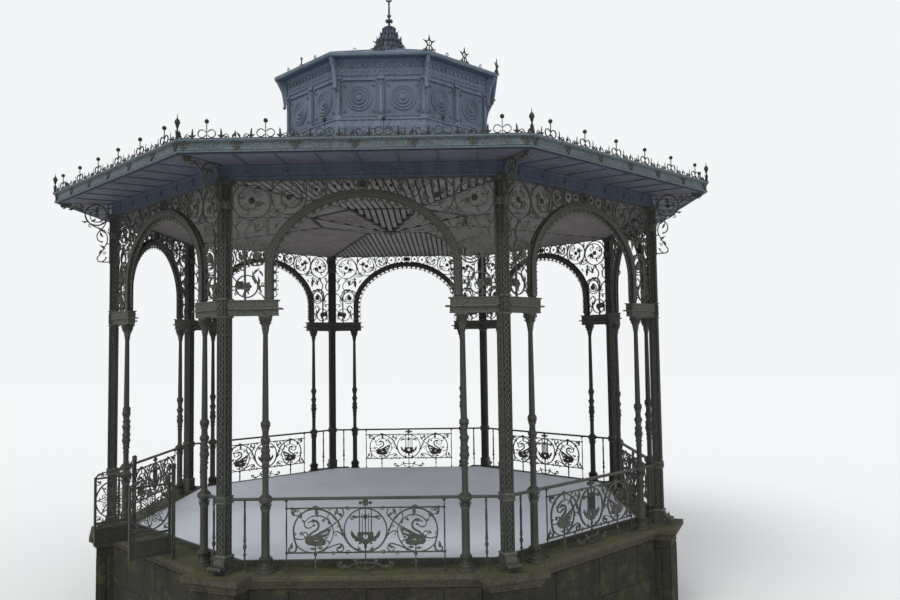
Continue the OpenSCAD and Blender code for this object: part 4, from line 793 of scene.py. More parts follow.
def arch_ribs():
    """A broad flat rib along the middle and a thin one at each edge of both faces of each arch."""
    parts = []
    for offset, wide in ((0.0, 0.026), (-0.043, 0.005), (0.043, 0.005)):
        line, _ = arch_line(offset, 0.06)
        parts.append(moved(swept(upright(line), oval_section(wide, 0.006, 8)), (0, -0.0455, 0)))
    return on_line(both_faces(join(parts)), SPRING_Z)


def impost_ornament():
    """Fillets under, between and over the two fascias of the short beams, longer than them at the free end."""
    pier = BAY_HALF - 0.075
    parts = []
    for z0, z1, out, over in ((-0.005, 0.010, 0.060, 0.004), (0.076, 0.098, 0.083, 0.058),
                              (0.187, 0.205, 0.076, 0.016)):
        lip = min(0.006, (z1 - z0) / 3)
        section = [(-out + 0.012, z0), (out - 0.012, z0), (out, z0 + lip), (out, z1 - lip), (out - 0.004, z1),
                   (-out + 0.004, z1), (-out, z1 - lip), (-out, z0 + lip)]
        parts.append(drawn_out(section, IMPOST_END - over, pier))
    return on_line(mirrored(join(parts)), IMPOST_Z)


# x from the bay's middle, level over the springing, heading, length, width and bend of a spandrel's leaves
SPANDREL_LEAVES = (
    (1.262, 0.450, 96, 0.225, 0.085, -25), (1.262, 0.470, 60, 0.13, 0.05, 40), (1.40, 0.500, 62, 0.15, 0.06, 30),
    (1.42, 0.510, 100, 0.16, 0.06, 20), (1.44, 0.500, 140, 0.13, 0.05, 40), (1.36, 0.560, 150, 0.11, 0.05, 30),
    (1.350, -0.300, 62, 0.17, 0.060, 25), (1.425, -0.180, 66, 0.18, 0.065, 20), (1.385, -0.200, 100, 0.13, 0.05, -30),
    (1.46, -0.060, 120, 0.13, 0.05, 30), (1.33, -0.080, 70, 0.12, 0.045, -40), (1.60, 0.130, 60, 0.14, 0.055, 40),
    (1.55, 0.240, 95, 0.15, 0.06, 25), (1.500, 0.320, 130, 0.14, 0.055, 40), (1.66, 0.420, 80, 0.13, 0.05, 50),
    (1.70, 0.560, 110, 0.13, 0.05, 40), (1.20, 0.740, 130, 0.14, 0.055, 30), (1.235, 0.64, 20, 0.11, 0.045, 60),
    (1.17, 0.560, 120, 0.10, 0.045, 20), (0.80, 0.905, 75, 0.12, 0.05, 30), (0.785, 1.190, -95, 0.12, 0.05, 20),
    (0.50, 1.015, 80, 0.09, 0.04, 20), (0.49, 1.190, -90, 0.08, 0.036, 20), (1.205, 1.185, -100, 0.16, 0.06, 30),
    (1.19, 0.860, 80, 0.13, 0.05, -20), (1.72, 0.655, -60, 0.10, 0.04, 40), (1.735, 1.180, -130, 0.09, 0.04, 20),
    (1.60, -0.350, 110, 0.12, 0.05, 40), (1.70, -0.250, 150, 0.10, 0.045, -40), (1.52, -0.320, 80, 0.11, 0.045, -30))
# x, level, heading, radius and turn of a spandrel's curls
SPANDREL_CURLS = (
    (1.262, 0.175, 20, 0.032, 420), (1.285, 0.262, 200, 0.030, -400), (1.700, 0.300, -60, 0.050, 240),
    (1.650, -0.010, 60, 0.050, 430), (1.690, -0.330, 40, 0.032, 400), (1.30, 0.36, 60, 0.040, -420),
    (1.52, 0.62, 90, 0.045, 420), (1.62, 0.66, 70, 0.036, -420), (1.35, 0.635, 120, 0.040, 400),
    (1.10, 0.700, 150, 0.030, -400), (0.86, 0.880, 120, 0.030, 400), (1.30, -0.200, 95, 0.030, -380),
    (1.30, -0.36, 80, 0.028, 380), (1.665, 0.12, 110, 0.034, 400), (1.475, 0.12, 100, 0.036, -420))


def spandrel_rings():
    """x, level and radius of the rings between arch and girder: each touches both, the last by its own place."""
    reach, c2 = CROWN_R + ARCH_W / 2 + GIRDER_UP, ARCH_RISE - CROWN_R
    rings = [(1.481, 0.9295, 0.262)]
    for x in ARCH_HALF * np.array([0.794, 0.5, 0.302, 0.153]):
        z = (reach ** 2 - x * x - c2 * c2) / (2 * (reach - c2))
        rings.append((x, z, GIRDER_UP - z))
    return rings


def ring_filling(x, z, r):
    """A rosette in the middle of a spandrel's ring, leaves and curls round it if it is large, and beads inside it."""
    parts = [facing(rosette(max(0.026, r * 0.18), 0.034), x, z, 0.017)]
    if r > 0.13:
        for a in (20, 110, 200, 290):
            g, h = math.radians(a), math.radians(a) + 0.7
            leaf_x, leaf_z = x + 0.40 * r * math.cos(g), z + 0.40 * r * math.sin(g)
            curl_x, curl_z = x + 0.30 * r * math.cos(h), z + 0.30 * r * math.sin(h)
            parts.append(blade(leaf_x, leaf_z, a - 30, r * 0.46, r * 0.14, 70, 6, 0.018, 1))
            parts.append(curl(curl_x, curl_z, a + 70, r * 0.20, -420, 0.010, 0.016, 12))
    count = max(6, int(r * 46))
    g = math.tau * np.arange(count) / count
    places = upright(np.stack([x + (r - 0.022) * np.cos(g), z + (r - 0.022) * np.sin(g)], -1))
    return join([*parts, copies(ball(0.0085, sides=5), places)])


def spandrel_leaves():
    """Leaves, curls and rosettes in the spandrels, and the rosette and leaves over each arch's crown."""
    parts = [ring_filling(*place) for place in spandrel_rings()]
    parts += [blades(SPANDREL_LEAVES, 7, slim=0.6), curls(SPANDREL_CURLS, steps=12)]
    parts += [facing(rosette(0.060, 0.034), x, z - ARCH_LEG, 0.017) for x, z in ((1.5441, 0.185), (1.6331, 0.202))]
    z = ARCH_RISE + (ARCH_W + CROWN_GAP) / 2
    parts += [blade(0.03, z + side * 0.02, side * 20, 0.05, 0.03, -side * 40, 4) for side in (-1, 1)]
    return on_line(join([mirrored(join(parts)), both_faces(facing(rosette(0.052, 0.040, 8), 0, z))]), SPRING_Z)


# Railings

# x from the bay's middle, level over the coping, heading, length, width and bend of a railing's leaves
RAILING_LEAVES = (
    (0.365, 0.800, -80, 0.095, 0.042, 30), (0.832, 0.684, 60, 0.085, 0.050, 60), (0.782, 0.638, 10, 0.055, 0.030, 60),
    (0.635, 0.812, -88, 0.125, 0.044, -20), (0.486, 0.520, 150, 0.060, 0.026, -30),
    (0.500, 0.490, 158, 0.062, 0.026, -30), (0.515, 0.460, 166, 0.062, 0.026, -30),
    (0.532, 0.428, 174, 0.060, 0.026, -30), (0.540, 0.396, 182, 0.055, 0.024, -30),
    (0.560, 0.366, 192, 0.052, 0.024, -30), (0.150, 0.470, 30, 0.070, 0.034, 50), (0.128, 0.432, 5, 0.070, 0.034, 50),
    (0.090, 0.402, -20, 0.066, 0.032, 50), (0.050, 0.378, -50, 0.060, 0.030, 40), (0.112, 0.690, 5, 0.075, 0.034, 30),
    (0.108, 0.112, 30, 0.075, 0.034, 50), (0.240, 0.062, -10, 0.080, 0.034, 60), (0.310, 0.080, 60, 0.060, 0.030, 60),
    (0.060, 0.256, 40, 0.080, 0.036, 50), (0.960, 0.300, 80, 0.085, 0.036, 40), (0.935, 0.715, 70, 0.080, 0.036, 60),
    (0.905, 0.290, 120, 0.070, 0.030, -50), (0.300, 0.700, 60, 0.085, 0.036, -60),
    (0.300, 0.350, -70, 0.080, 0.034, 60), (0.420, 0.700, 200, 0.075, 0.034, 40),
    (0.560, 0.640, 120, 0.060, 0.030, 60), (0.700, 0.370, -30, 0.080, 0.040, 60), (0.740, 0.420, 10, 0.075, 0.036, 60),
    (0.620, 0.310, 200, 0.075, 0.034, -50), (0.660, 0.300, -20, 0.070, 0.034, 50),
    (0.845, 0.470, 100, 0.060, 0.028, 40), (0.470, 0.600, 100, 0.070, 0.032, -60),
    (0.650, 0.200, 60, 0.055, 0.028, 40), (0.650, 0.200, 120, 0.055, 0.028, -40))
# x, level, heading, radius and turn of a railing's curls
RAILING_CURLS = (
    (0.440, 0.250, 140, 0.030, 330), (0.498, 0.380, 120, 0.022, 330), (0.965, 0.780, 190, 0.028, -400),
    (0.200, 0.255, 60, 0.032, -400), (0.560, 0.256, 60, 0.026, 380), (0.200, 0.800, -60, 0.030, 400),
    (0.480, 0.800, -110, 0.026, -380), (0.900, 0.800, -70, 0.028, -400), (0.360, 0.560, 60, 0.024, 380),
    (0.940, 0.480, 100, 0.024, 400))
# x, level and radius of a railing's knobs
RAILING_KNOBS = (
    (0.620, 0.826, 0.016), (0.668, 0.826, 0.016), (0.382, 0.470, 0.012), (0.644, 0.826, 0.019), (0.680, 0.645, 0.016),
    (0.112, 0.690, 0.015), (0.077, 0.792, 0.014), (0.300, 0.528, 0.015))
# Radius and level of a baluster, from its foot to the flange under the handrail
BALUSTER_PROFILE = (
    (0.026, 0.001), (0.026, 0.011), (0.016, 0.024), (0.0115, 0.042), (0.0115, 0.210), (0.0215, 0.221), (0.0215, 0.237),
    (0.0115, 0.248), (0.0132, 0.295), (0.0255, 0.322), (0.0255, 0.342), (0.0150, 0.360), (0.0130, 0.385),
    (0.0210, 0.395), (0.0210, 0.410), (0.0165, 0.420), (0.0165, 0.440), (0.0140, 0.520), (0.0145, 0.600),
    (0.0165, 0.700), (0.0120, 0.800), (0.0105, 0.825), (0.0160, 0.832), (0.0160, 0.846), (0.0105, 0.856),
    (0.0105, 0.868), (0.0175, 0.874), (0.0175, 0.886), (0.0110, 0.894), (0.0200, 0.918))


def railing_leaves():
    """Leaves, curls, knobs, feathers and lyre strings of the seven railing panels."""
    stem = ((0.008, 0.118), (0.019, 0.126), (0.022, 0.136), (0.012, 0.146), (0.009, 0.160))
    foot = ((0.024, 0.001), (0.024, 0.010), (0.011, 0.022), (0.009, 0.040))
    half = [blades(RAILING_LEAVES), curls(RAILING_CURLS, 0.010, 0.016),
            *(ball(r, (x, 0, z), 7, 4) for x, z, r in RAILING_KNOBS),
            *(moved(lathe(profile, 10), (SWAN_X, 0, 0)) for profile in (stem, foot)),
            facing(rosette(0.022, 0.024, 4), 0.066, 0.8735, 0.012)]
    half += [blade(0.600 + 0.034 * i + 0.010 * j, 0.450 - 0.036 * j, 158 + 8 * j, 0.070, 0.030, 12, 5, 0.030)
             for j in range(3) for i in range(3)]
    middle = [facing(rosette(0.044, 0.034, 8), 0, 0.8735, 0.017), ball(0.016, (0, 0, 0.347), 7, 4),
              facing(rosette(0.030, 0.026), 0, 0.697, 0.013), blade(0, 0.345, -90, 0.070, 0.040, 0, 5, 0.024),
              copies(ball(0.009, (0, 0, 0.44)), [(x, 0, 0) for x in (-0.077, -0.040, 0, 0.040, 0.077)])]
    return on_line(join([mirrored(join(half)), *middle]), bays=7)


def balusters():
    """The turned balusters between the piers and the slender columns."""
    return on_line(mirrored(moved(lathe(BALUSTER_PROFILE, 14), (COLUMN_X + 0.270, 0, 0))))


def handrail_tops():
    """Rounded strips on the handrails, between the slender columns in seven bays and beyond them in all eight."""
    section = ((0.004, 0.026), (-0.004, 0.026), (-0.010, 0.014), (-0.012, 0), (-0.010, -0.014), (-0.004, -0.026),
               (0.004, -0.026))

    def strip(x0, x1):
        """The section carried straight from x0 to x1 on top of the handrail."""
        return swept([(x, 0, 0.9485) for x in (x0, (x0 + x1) / 2, x1)], section)

    gap = 0.09
    return join([on_line(strip(gap - COLUMN_X, COLUMN_X - gap), bays=7),
                 on_line(mirrored(strip(COLUMN_X + gap, BAY_HALF - gap)))])


# The gates

def gate_leaf_detail(side):
    """Scrolls, rings and studs on one open leaf: x along it from its hinge axis, levels from its foot."""
    mid, x0, x1, z = 0.31325, 0.050, 0.6065, 0.6455
    parts = []
    for x in np.linspace(x0, x1, 15)[1::2]:
        parts.append(ring(x, 0.279, 0.026, 0.009, 0.014, 12))
        parts.append(both_faces(facing(rosette(0.013, 0.012, 4), x, 0.12, -0.004)))
    spoke = join([blade(0.034, 0, 8, 0.150, 0.020, -20, 6, 0.014), curl(0.150, 0.020, 10, 0.034, 400, 0.009, 0.013),
                  blade(0.205, -0.004, 60, 0.052, 0.020, 40, 4, 0.012), ball(0.010, (0.192, 0, -0.022))])
    for g in np.arange(8) * math.tau / 8:
        c, s = math.cos(g), math.sin(g)
        parts.append(moved(spoke, (mid, 0, z), (c, 0, s), z=(-s, 0, c)))
    parts.append(both_faces(facing(rosette(0.036, 0.012, 8), mid, z, -0.014)))
    corner = join([curl(0.205, 0.285, 250, 0.050, 420, 0.010, 0.014, 13, 0.2),
                   blade(0.250, 0.280, 200, 0.08, 0.024, 40, 5, 0.014)])
    parts += [moved(corner, (mid, 0, z), (sx, 0, 0), z=(0, 0, sz)) for sx in (1, -1) for sz in (1, -1)]
    parts.append(blades(((0.10, 1.10, 60, 0.08, 0.026, 60), (0.20, 1.07, 80, 0.07, 0.026, 60),
                         (0.30, 1.05, 70, 0.08, 0.026, -60), (0.40, 1.03, 60, 0.07, 0.026, 60),
                         (0.50, 1.01, 80, 0.06, 0.026, 60), (0.035, 1.17, 110, 0.06, 0.026, 40)), 5, 0.014, 1))
    parts.append(curls(((0.075, 1.02, 70, 0.030, -400), (0.150, 1.02, 110, 0.030, 400), (0.250, 1.01, 60, 0.030, -400),
                        (0.335, 1.005, 100, 0.030, 400), (0.430, 1.0, 70, 0.030, -400)), 0.009, 0.013))
    hinge = (side * GATE_HALF, -LINE_AP - GATE_OUT, COPING_Z + GATE_LIFT)
    return turned(run_out(join(parts), hinge), -TURN)


def gate_post_detail():
    """Grooved faces and a leaf cup on each gate post."""
    post = join([around(box(0.014, 0.006, 0.95, (0, -0.0225, 0.60)), 4),
                 whorl(6, 0.018, 1.256, (0.045, 0.026, 0.2, 1.2, 0.005, 4, 1))])
    x = GATE_HALF + 0.043
    return turned(join([moved(post, (side * x, -LINE_AP - GATE_OUT, COPING_Z)) for side in (-1, 1)]), -TURN)


# Girders, brackets and eaves

# Places along a bay of the girder's studs, and the pitch of the soffit's battens that lie over them
GIRDER_STUDS = (-1.520, -1.014, -0.507, 0, 0.507, 1.014, 1.520)
BATTEN_PITCH = 0.507
# x outwards from a pier's middle, level from the girder's underside, heading, length, width and bend of each leaf
BRACKET_LEAVES = (
    (0.284, 0.055, 80, 0.11, 0.034, 70), (0.300, -0.060, -70, 0.09, 0.032, 70), (0.345, 0.020, 10, 0.08, 0.030, 60),
    (0.255, -0.215, 200, 0.11, 0.034, 40), (0.180, -0.360, 40, 0.11, 0.032, 50), (0.150, -0.560, 60, 0.11, 0.032, -50),
    (0.235, -0.640, 110, 0.10, 0.032, 40), (0.500, 0.045, 80, 0.10, 0.034, -60), (0.620, 0.100, -40, 0.10, 0.034, 50),
    (0.740, 0.130, -70, 0.08, 0.034, 50), (0.420, -0.110, -30, 0.09, 0.030, 60), (0.460, 0.110, 20, 0.10, 0.030, 50))
# x, level, heading, radius and turn of a bracket's curls
BRACKET_CURLS = (
    (0.170, -0.110, -60, 0.035, 380), (0.130, -0.260, -80, 0.030, 380), (0.130, -0.620, 60, 0.030, -380),
    (0.520, 0.150, -60, 0.028, -400), (0.600, 0.150, -60, 0.024, -400), (0.360, -0.190, -50, 0.030, 380),
    (0.690, 0.120, -80, 0.026, 380))


def girder_studs():
    """Domed studs and flat stiffeners on the outer face of each girder, and a row of beads along its foot."""
    dome = facing(lathe([[0.030, 0], [0.030, 0.006], [0.026, 0.018], [0.016, 0.026], [0.005, 0.029]], 12), 0, 0)
    stud = join([moved(dome, (0, 0, 0.0805)), block(0.050, 0.014, 0.120, (0, -0.003, 0.1005), 0.004)])
    studs = copies(stud, [(x, -0.048, 0) for x in GIRDER_STUDS])
    row = copies(ball(0.007, (0, -0.060, 0.015), 5), [(x, 0, 0) for x in np.arange(-1.78, 1.79, 0.055)])
    return on_line(join([studs, row]), GIRDER_Z)


def bracket_leaves():
    """Leaves, curls and a rosette in the eight corner brackets."""
    parts = [blades(BRACKET_LEAVES, thick=0.022), curls(BRACKET_CURLS, 0.011),
             facing(rosette(0.036, 0.034), 0.284, 0, 0.017)]
    return at_corners(run_out(join(parts), (0, 0, GIRDER_Z)))


def fascia_clips():
    """Leaf brackets under the fascia's lip at the cresting's stems and at the corners, with a curl at each side."""
    pitch = 2 * CREST_AP * TAN / 6
    leaf = moved(frond(0.100, 0.086, 0.04, 0.5, 0.014, 7, 2), (0, 0, 0.120), z=(0, 0, -1))
    clip = join([leaf, mirrored(curl(0.030, 0.116, -60, 0.026, 400, 0.010, 0.020, 10)),
                 facing(rosette(0.014, 0.012, 4), 0, 0.104, -0.010)])
    places = [(k * pitch * (0.970 if abs(k) == 3 else 1), -EAVE_AP - 0.002, EAVE_Z) for k in range(-3, 4)]
    return in_bays(copies(clip, places))


def fascia_lines():
    """Two thin pale mouldings along each face of the fascia, mitred at the corners."""
    return join([octagon_strip([[EAVE_AP + out + over, EAVE_Z + z + up] for over, up in
                                ((-0.012, -0.006), (0, -0.004), (0, 0.004), (-0.012, 0.006))])
                 for z, out in ((0.040, 0.007), (0.150, 0.043))])


def cresting():
    """Open rings, pointed leaves and curls between the balls of the eave's cresting."""
    pitch = 2 * CREST_AP * TAN / 6
    unit = join([ring(0.060, 0.062, 0.049, 0.010, 0.013, 12, -160, 300), ball(0.009, (0.015, 0, 0.084), 5),
                 blade(0.180, 0.010, 90, 0.118, 0.034, 6, 6, 0.012, 1),
                 blades(((0.178, 0.012, 128, 0.062, 0.024, 30), (0.182, 0.012, 52, 0.062, 0.024, -30),
                         (0.315, 0.010, 72, 0.078, 0.028, -36)), 4, 0.012, 0),
                 curls(((0.222, 0.012, 60, 0.032, -400), (0.268, 0.012, 70, 0.034, 400)), 0.009, 0.012, 10)])
    unit = join([mirrored(unit), blade(0.352, 0.012, 90, 0.090, 0.030, 0, 4, 0.012)])
    first = blade(-0.332 - 2.5 * pitch, 0.012, 90, 0.085, 0.030, 0, 4, 0.012)
    row = join([copies(unit, [((k - 2.5) * pitch, 0, 0) for k in range(6)]), first])
    return in_bays(moved(row, (0, -CREST_AP, EAVE_TOP + 0.004)))


def corner_spikes():
    """Leaves round the foot and the neck of the spikes at the eave's corners, no wider than the spikes."""
    shape = join([whorl(6, 0.014, 0.024, (0.090, 0.024, 0.06, 0.20, 0.005, 5, 1)),
                  whorl(6, 0.011, 0.150, (0.060, 0.020, 0.22, 0.20, 0.005, 4, 1))])
    return moved(at_corners(shape, CREST_AP * CORNER), (0, 0, EAVE_TOP))


# Boards under the roof

def strips(a0, z0, a1, z1, pitch, width, rise, short, least):
    """Strips up a sector's slope from a0 to a1, cut at the hips by short, and left out if under least long."""
    low, high = min(a0, a1), max(a0, a1)
    slope = (z1 - z0) / (a1 - a0)
    parts = []
    for k in range(-int(high * TAN / pitch), int(high * TAN / pitch) + 1):
        x = k * pitch
        start = max(low, (abs(x) + short[0]) / TAN + short[1])
        if start <= high - least:
            corners = [(x + dx, -a, z0 + (a - a0) * slope)
                       for dx, a in ((-width / 2, start), (width / 2, start), (width / 2, high), (-width / 2, high))]
            parts.append(slab(corners, rise))
    return join(parts)


def ceiling_boards():
    """Boards of the eight ceiling sectors and of the hanging pyramid in the middle."""
    pitch, wide = sizes().board_pitch, sizes().board_pitch - sizes().board_gap
    rest = (pitch, wide, -sizes().board_thick, (wide / 2, 0.02), 0.05)
    rim = CEILING_Z + 0.138
    outer = strips(CEILING_INNER + 0.045, rim - 0.001, LINE_AP - 0.066, CEILING_Z - 0.001, *rest)
    inner = strips(0.16, CEILING_Z - 0.0534, CEILING_INNER - 0.045, rim - 0.0069, *rest)
    return in_bays(join([outer, inner]))


def soffit_level(r):
    """Level of the soffit's underside at r from the middle, square to a bay."""
    return SOFFIT_Z - (r - SOFFIT_IN) * (SOFFIT_Z - EAVE_Z) / (SOFFIT_OUT - SOFFIT_IN + 0.004)


def soffit_strip(r0, r1, drop, deep):
    """A board along the eave between r0 and r1, short of the hips, its upper side drop under the soffit."""
    corners = [(x * (r * TAN - 0.020), -r, soffit_level(r) - drop) for x, r in ((-1, r0), (1, r0), (1, r1), (-1, r1))]
    return slab(corners, -deep)


def soffit_boards():
    """Boards along the eave under the soffit, mitred at the hips."""
    edges = np.linspace(SOFFIT_IN, SOFFIT_OUT, 8)
    return in_bays(join([soffit_strip(r0 + 0.003, r1 - 0.003, 0.0005, 0.007) for r0, r1 in zip(edges[:-1], edges[1:])]))


def soffit_battens():
    """Dark battens across the soffit's boards over the girder's studs, and a bead at the fascia and the girder."""
    half, inner, outer = 0.011, SOFFIT_IN + 0.006, SOFFIT_OUT - 0.006
    corners = [(x, -r, soffit_level(r) - 0.007)
               for x, r in ((-half, inner), (half, inner), (half, outer), (-half, outer))]
    battens = copies(slab(corners, -0.012), [(BATTEN_PITCH * k, 0, 0) for k in range(-3, 4)])
    edges = [soffit_strip(r - 0.010, r + 0.010, 0.001, deep)
             for r, deep in ((SOFFIT_IN + 0.012, 0.018), (SOFFIT_OUT - 0.010, 0.014))]
    return in_bays(join([battens, *edges]))


# Roofs, drum and finial

def hip_rolls(a0, z0, a1, z1, radius):
    """The rolls on a roof's eight hips, from a0 at the foot up to a1, as distances square to a bay."""
    a = np.arange(8) * math.tau / 8
    section = radius * np.stack([np.cos(a), np.sin(a)], -1)
    path = [(0, -a * CORNER, z) for a, z in ((a0, z0), ((a0 + a1) / 2, (z0 + z1) / 2), (a1, z1))]
    return at_corners(swept(path, section, out=(1, 0, 0)), 0.0)


def roof_seams():
    """Standing seams and hip rolls on the main roof and on the drum's roof."""
    lower = (EAVE_AP - 0.05, ROOF_FOOT_Z + 0.0049, DRUM_AP + 0.080, ROOF_Z)
    upper = (DRUM_AP + 0.17, DRUM_TOP_Z + 0.0065, 0.40, SPIGOT_Z - 0.098)
    parts = []
    for line, pitch, width, rise, radius in ((lower, sizes().roof_seam_pitch, 0.024, 0.030, 0.024),
                                             (upper, sizes().drum_seam_pitch, 0.018, 0.022, 0.018)):
        seams = strips(*line, pitch, width, rise, (width, 0.04), 0.1)
        parts += [moved(in_bays(seams), (0, 0, -0.004)), hip_rolls(*line, radius)]
    return join(parts)


def drum_band():
    """Caps and feet of the little posts in the band at the drum's foot, and a wave scroll between them."""
    face, low, high = -DRUM_AP - 0.071, DRUM_BAND_Z + 0.03, DRUM_BAND_TOP - 0.02
    post = join([box(0.066, 0.022, 0.022, (0, face - 0.022, high - 0.020)),
                 box(0.046, 0.020, 0.030, (0, face - 0.022, low + 0.016))])
    wave = join([curl(0, low + 0.08, 50, 0.115, -330, 0.016, 0.024, 12, 0.25),
                 blade(0.04, low + 0.09, 20, 0.12, 0.05, -50, 5, 0.02, 1),
                 curl(0.19, low + 0.055, 170, 0.045, 380, 0.012, 0.02, 10, 0.25)])
    places = [((k + 0.5) * DRUM_SIDE / 3, 0, 0) for k in range(-3, 3)]
    return join([copies(post, places), copies(moved(wave, (0.03, face - 0.002, 0)), places[:-1])])


def drum_panels():
    """A ringed boss, four corner curls and a frame in each of a bay's two panels."""
    pane_h = DRUM_WALL_H - 0.130
    w, h, face = DRUM_SIDE / 2 - 0.055, pane_h / 2, -DRUM_AP - 0.003
    boss = lathe([[0.214, 0.0], [0.214, 0.012], [0.206, 0.017], [0.194, 0.012], [0.186, 0.004], [0.176, 0.004],
                  [0.168, 0.014], [0.156, 0.020], [0.144, 0.014], [0.132, 0.006], [0.116, 0.006], [0.106, 0.022],
                  [0.092, 0.028], [0.078, 0.018], [0.062, 0.010], [0.052, 0.014], [0.046, 0.034], [0.020, 0.044]], 32)
    snail = moved(curl(w - 0.045, h - 0.09, 100, 0.030, 400, 0.010, 0.014, 10), (0, -DRUM_AP + 0.010, 0))
    stile = box(0.012, 0.012, pane_h - 0.20, (w + 0.006, face, -0.04))
    half = join([snail, moved(snail, z=(0, 0, -1)), stile])
    rails = [box(wide, 0.012, 0.012, (0, face, z)) for wide, z in ((2 * w - 0.16, h + 0.006), (2 * w, -h - 0.006))]
    panel = join([facing(boss, 0, 0, -DRUM_AP + 0.016), mirrored(half), *rails])
    return copies(panel, [(side * DRUM_SIDE / 2, 0, DRUM_WALL_Z + 0.060 + h) for side in (-1, 1)])


def drum_posts():
    """A leaf, a cap, a strip and a rosette on the drum's pilasters, at a bay's middle and near its corners."""
    top, parts = DRUM_WALL_Z + DRUM_WALL_H, []
    for x, w in ((0, 0.070), (0.030 - DRUM_SIDE, 0.05), (DRUM_SIDE - 0.030, 0.05)):
        parts += [moved(frond(0.075, w, 0.1, 1.2, 0.007, 4, 1), (x, -DRUM_AP - 0.017, top - 0.135)),
                  block(w * 1.7, 0.030, 0.034, (x, -DRUM_AP - 0.026, top - 0.044), 0.006),
                  box(w * 0.5, 0.008, DRUM_WALL_H - 0.30, (x, -DRUM_AP - 0.018, top - DRUM_WALL_H / 2 - 0.02)),
                  facing(rosette(w * 0.30, 0.014, 4), x, DRUM_WALL_Z + 0.10, -DRUM_AP - 0.017)]
    return join(parts)


def drum_frieze():
    """Dentils and little arches on the frieze, beads along the eave and two ring finials on its edge."""
    pitch = sizes().dentil_pitch
    count = int((DRUM_SIDE + 0.005) / pitch)
    tooth = block(0.058, 0.022, 0.070, (0, -DRUM_AP - 0.023, DRUM_EAVE_Z - 0.100), 0.006)
    arch = moved(ring(0, 0, 0.038, 0.010, 0.014, 7, 0, 180), (0, -DRUM_AP - 0.016, DRUM_FRIEZE_Z + 0.045))
    drop = join([ring(0, 0.034, 0.026, 0.009, 0.012, 12), lathe([[0.007, 0.0], [0.006, 0.012]], 6),
                 ball(0.009, (0, 0, 0.066))])
    bead = ball(0.011, (0, -DRUM_CREST_AP - 0.004, DRUM_EAVE_Z + 0.034))
    return join([copies(tooth, [((k + 0.5) * pitch, 0, 0) for k in range(-count, count)]),
                 copies(arch, [(k * pitch, 0, 0) for k in range(1 - count, count)]),
                 copies(drop, [(side * 0.55 * DRUM_SIDE, -DRUM_AP - 0.200, DRUM_TOP_Z) for side in (-1, 1)]),
                 copies(bead, [(x, 0, 0) for x in np.arange(-0.80, 0.81, 0.053)])])


def drum_corners():
    """An eye and a long leaf on the outer edge of each corner's console, and a curl near its top."""
    shape = join([ring(0.056, -0.200, 0.022, 0.012, 0.064, 14), ball(0.012, (0.056, 0, -0.200), 8, 4),
                  blade(0.068, -0.165, 87, 0.240, 0.022, -12, 6, 0.050),
                  curl(0.150, 0.210, -80, 0.034, -400, 0.012, 0.066, 12)])
    return at_corners(run_out(shape, (0, 0, DRUM_FRIEZE_Z)), DRUM_AP * CORNER)


def drum_ornament():
    """All the raised work on the drum."""
    return join([in_bays(join([drum_band(), drum_panels(), drum_posts(), drum_frieze()])), drum_corners()])


def antefix_leaves():
    """Balls, a bar and curls on every antefix that still stands: six corners and seven middles."""
    unit = join([ball(0.010, (0.100, 0, 0.170)), blade(0.040, 0.014, 78, 0.066, 0.020, 20, 4, 0.012),
                 curl(0.066, 0.014, 60, 0.026, -380, 0.009, 0.012, 9)])
    shape = join([mirrored(unit), ball(0.009, (0, 0, 0.262)), ball(0.012, (0, 0, 0.128)),
                  blade(0, 0.090, 90, 0.076, 0.012, 0, 3, 0.010)])
    line = DRUM_CREST_AP - 0.008
    middles = in_bays(moved(shape, (0, -line, 0)), 7)
    return moved(join([middles, at_corners(shape, line * CORNER, 6)]), (0, 0, DRUM_TOP_Z))


def finial_ornament():
    """Ribs, leaves, volutes and beads on the bell, the knobs and the fork of the finial."""
    r, h = BELL_R, BELL_H
    rim = -(r / CORNER - r / 2) * DRUM_ROOF_SLOPE + 0.001
    line = ((r * 0.985, rim + 0.055), (r * 0.86, rim + 0.075), (r * 0.70, h * 0.30), (r * 0.755, h * 0.36),
            (r * 0.62, h * 0.44), (r * 0.44, h * 0.70), (r * 0.36, h * 0.86), (r * 0.395, h * 0.94))
    rib = swept([(0, -out - 0.001, z) for out, z in line], oval_section(0.009, 0.007), out=(1, 0, 0))
    parts = [around(rib, 16, math.tau / 32)]
    for count, out, level, long, wide in (
            (12, r * 0.93, rim + 0.055, 0.10, 0.085), (10, r * 0.70, h * 0.36, 0.12, 0.080),
            (8, r * 0.47, h * 0.66, 0.10, 0.060), (8, 0.060, h + 0.10, 0.05, 0.036),
            (6, 0.030, h + 0.205, 0.045, 0.030)):
        parts.append(whorl(count, out, level, (long, wide, 0.05, 0.8, 0.008, 6, 2)))
    volute = run_out(curl(0, 0, 80, 0.060, -430, 0.018, 0.026, 16, 0.2), (0, -r * 0.80, rim + 0.075))
    parts.append(around(volute, 8, HALF / 2))
    parts += [beads(*row) for row in ((28, r + 0.001, rim + 0.026, 0.014), (24, r * 0.765, h * 0.335, 0.011),
                                      (16, r * 0.40, h * 0.93, 0.010), (12, 0.067, h + 0.124, 0.009))]
    fork = join([blade(0.015, h + 0.56, 62, 0.20, 0.056, 20, 7, 0.020, 2),
                 blade(0.012, h + 0.62, 74, 0.20, 0.048, -20, 7, 0.018, 2),
                 curl(0.050, h + 0.70, 10, 0.036, 400, 0.012, 0.016),
                 blade(0.010, h + 0.50, 30, 0.11, 0.036, 60, 6, 0.018, 1)])
    parts.append(around(run_out(fork), 4))
    return moved(join(parts), (0, 0, SPIGOT_Z))


# The stage

FLOOR_REACH = 90.0
FLOOR_COLOUR = (0.80, 0.80, 0.79, 1)
SKY_LIGHT, SKY_STRENGTH = (0.93, 0.96, 1.0, 1), 0.75
SKY_SEEN = (0.896, 0.913, 0.930, 1)
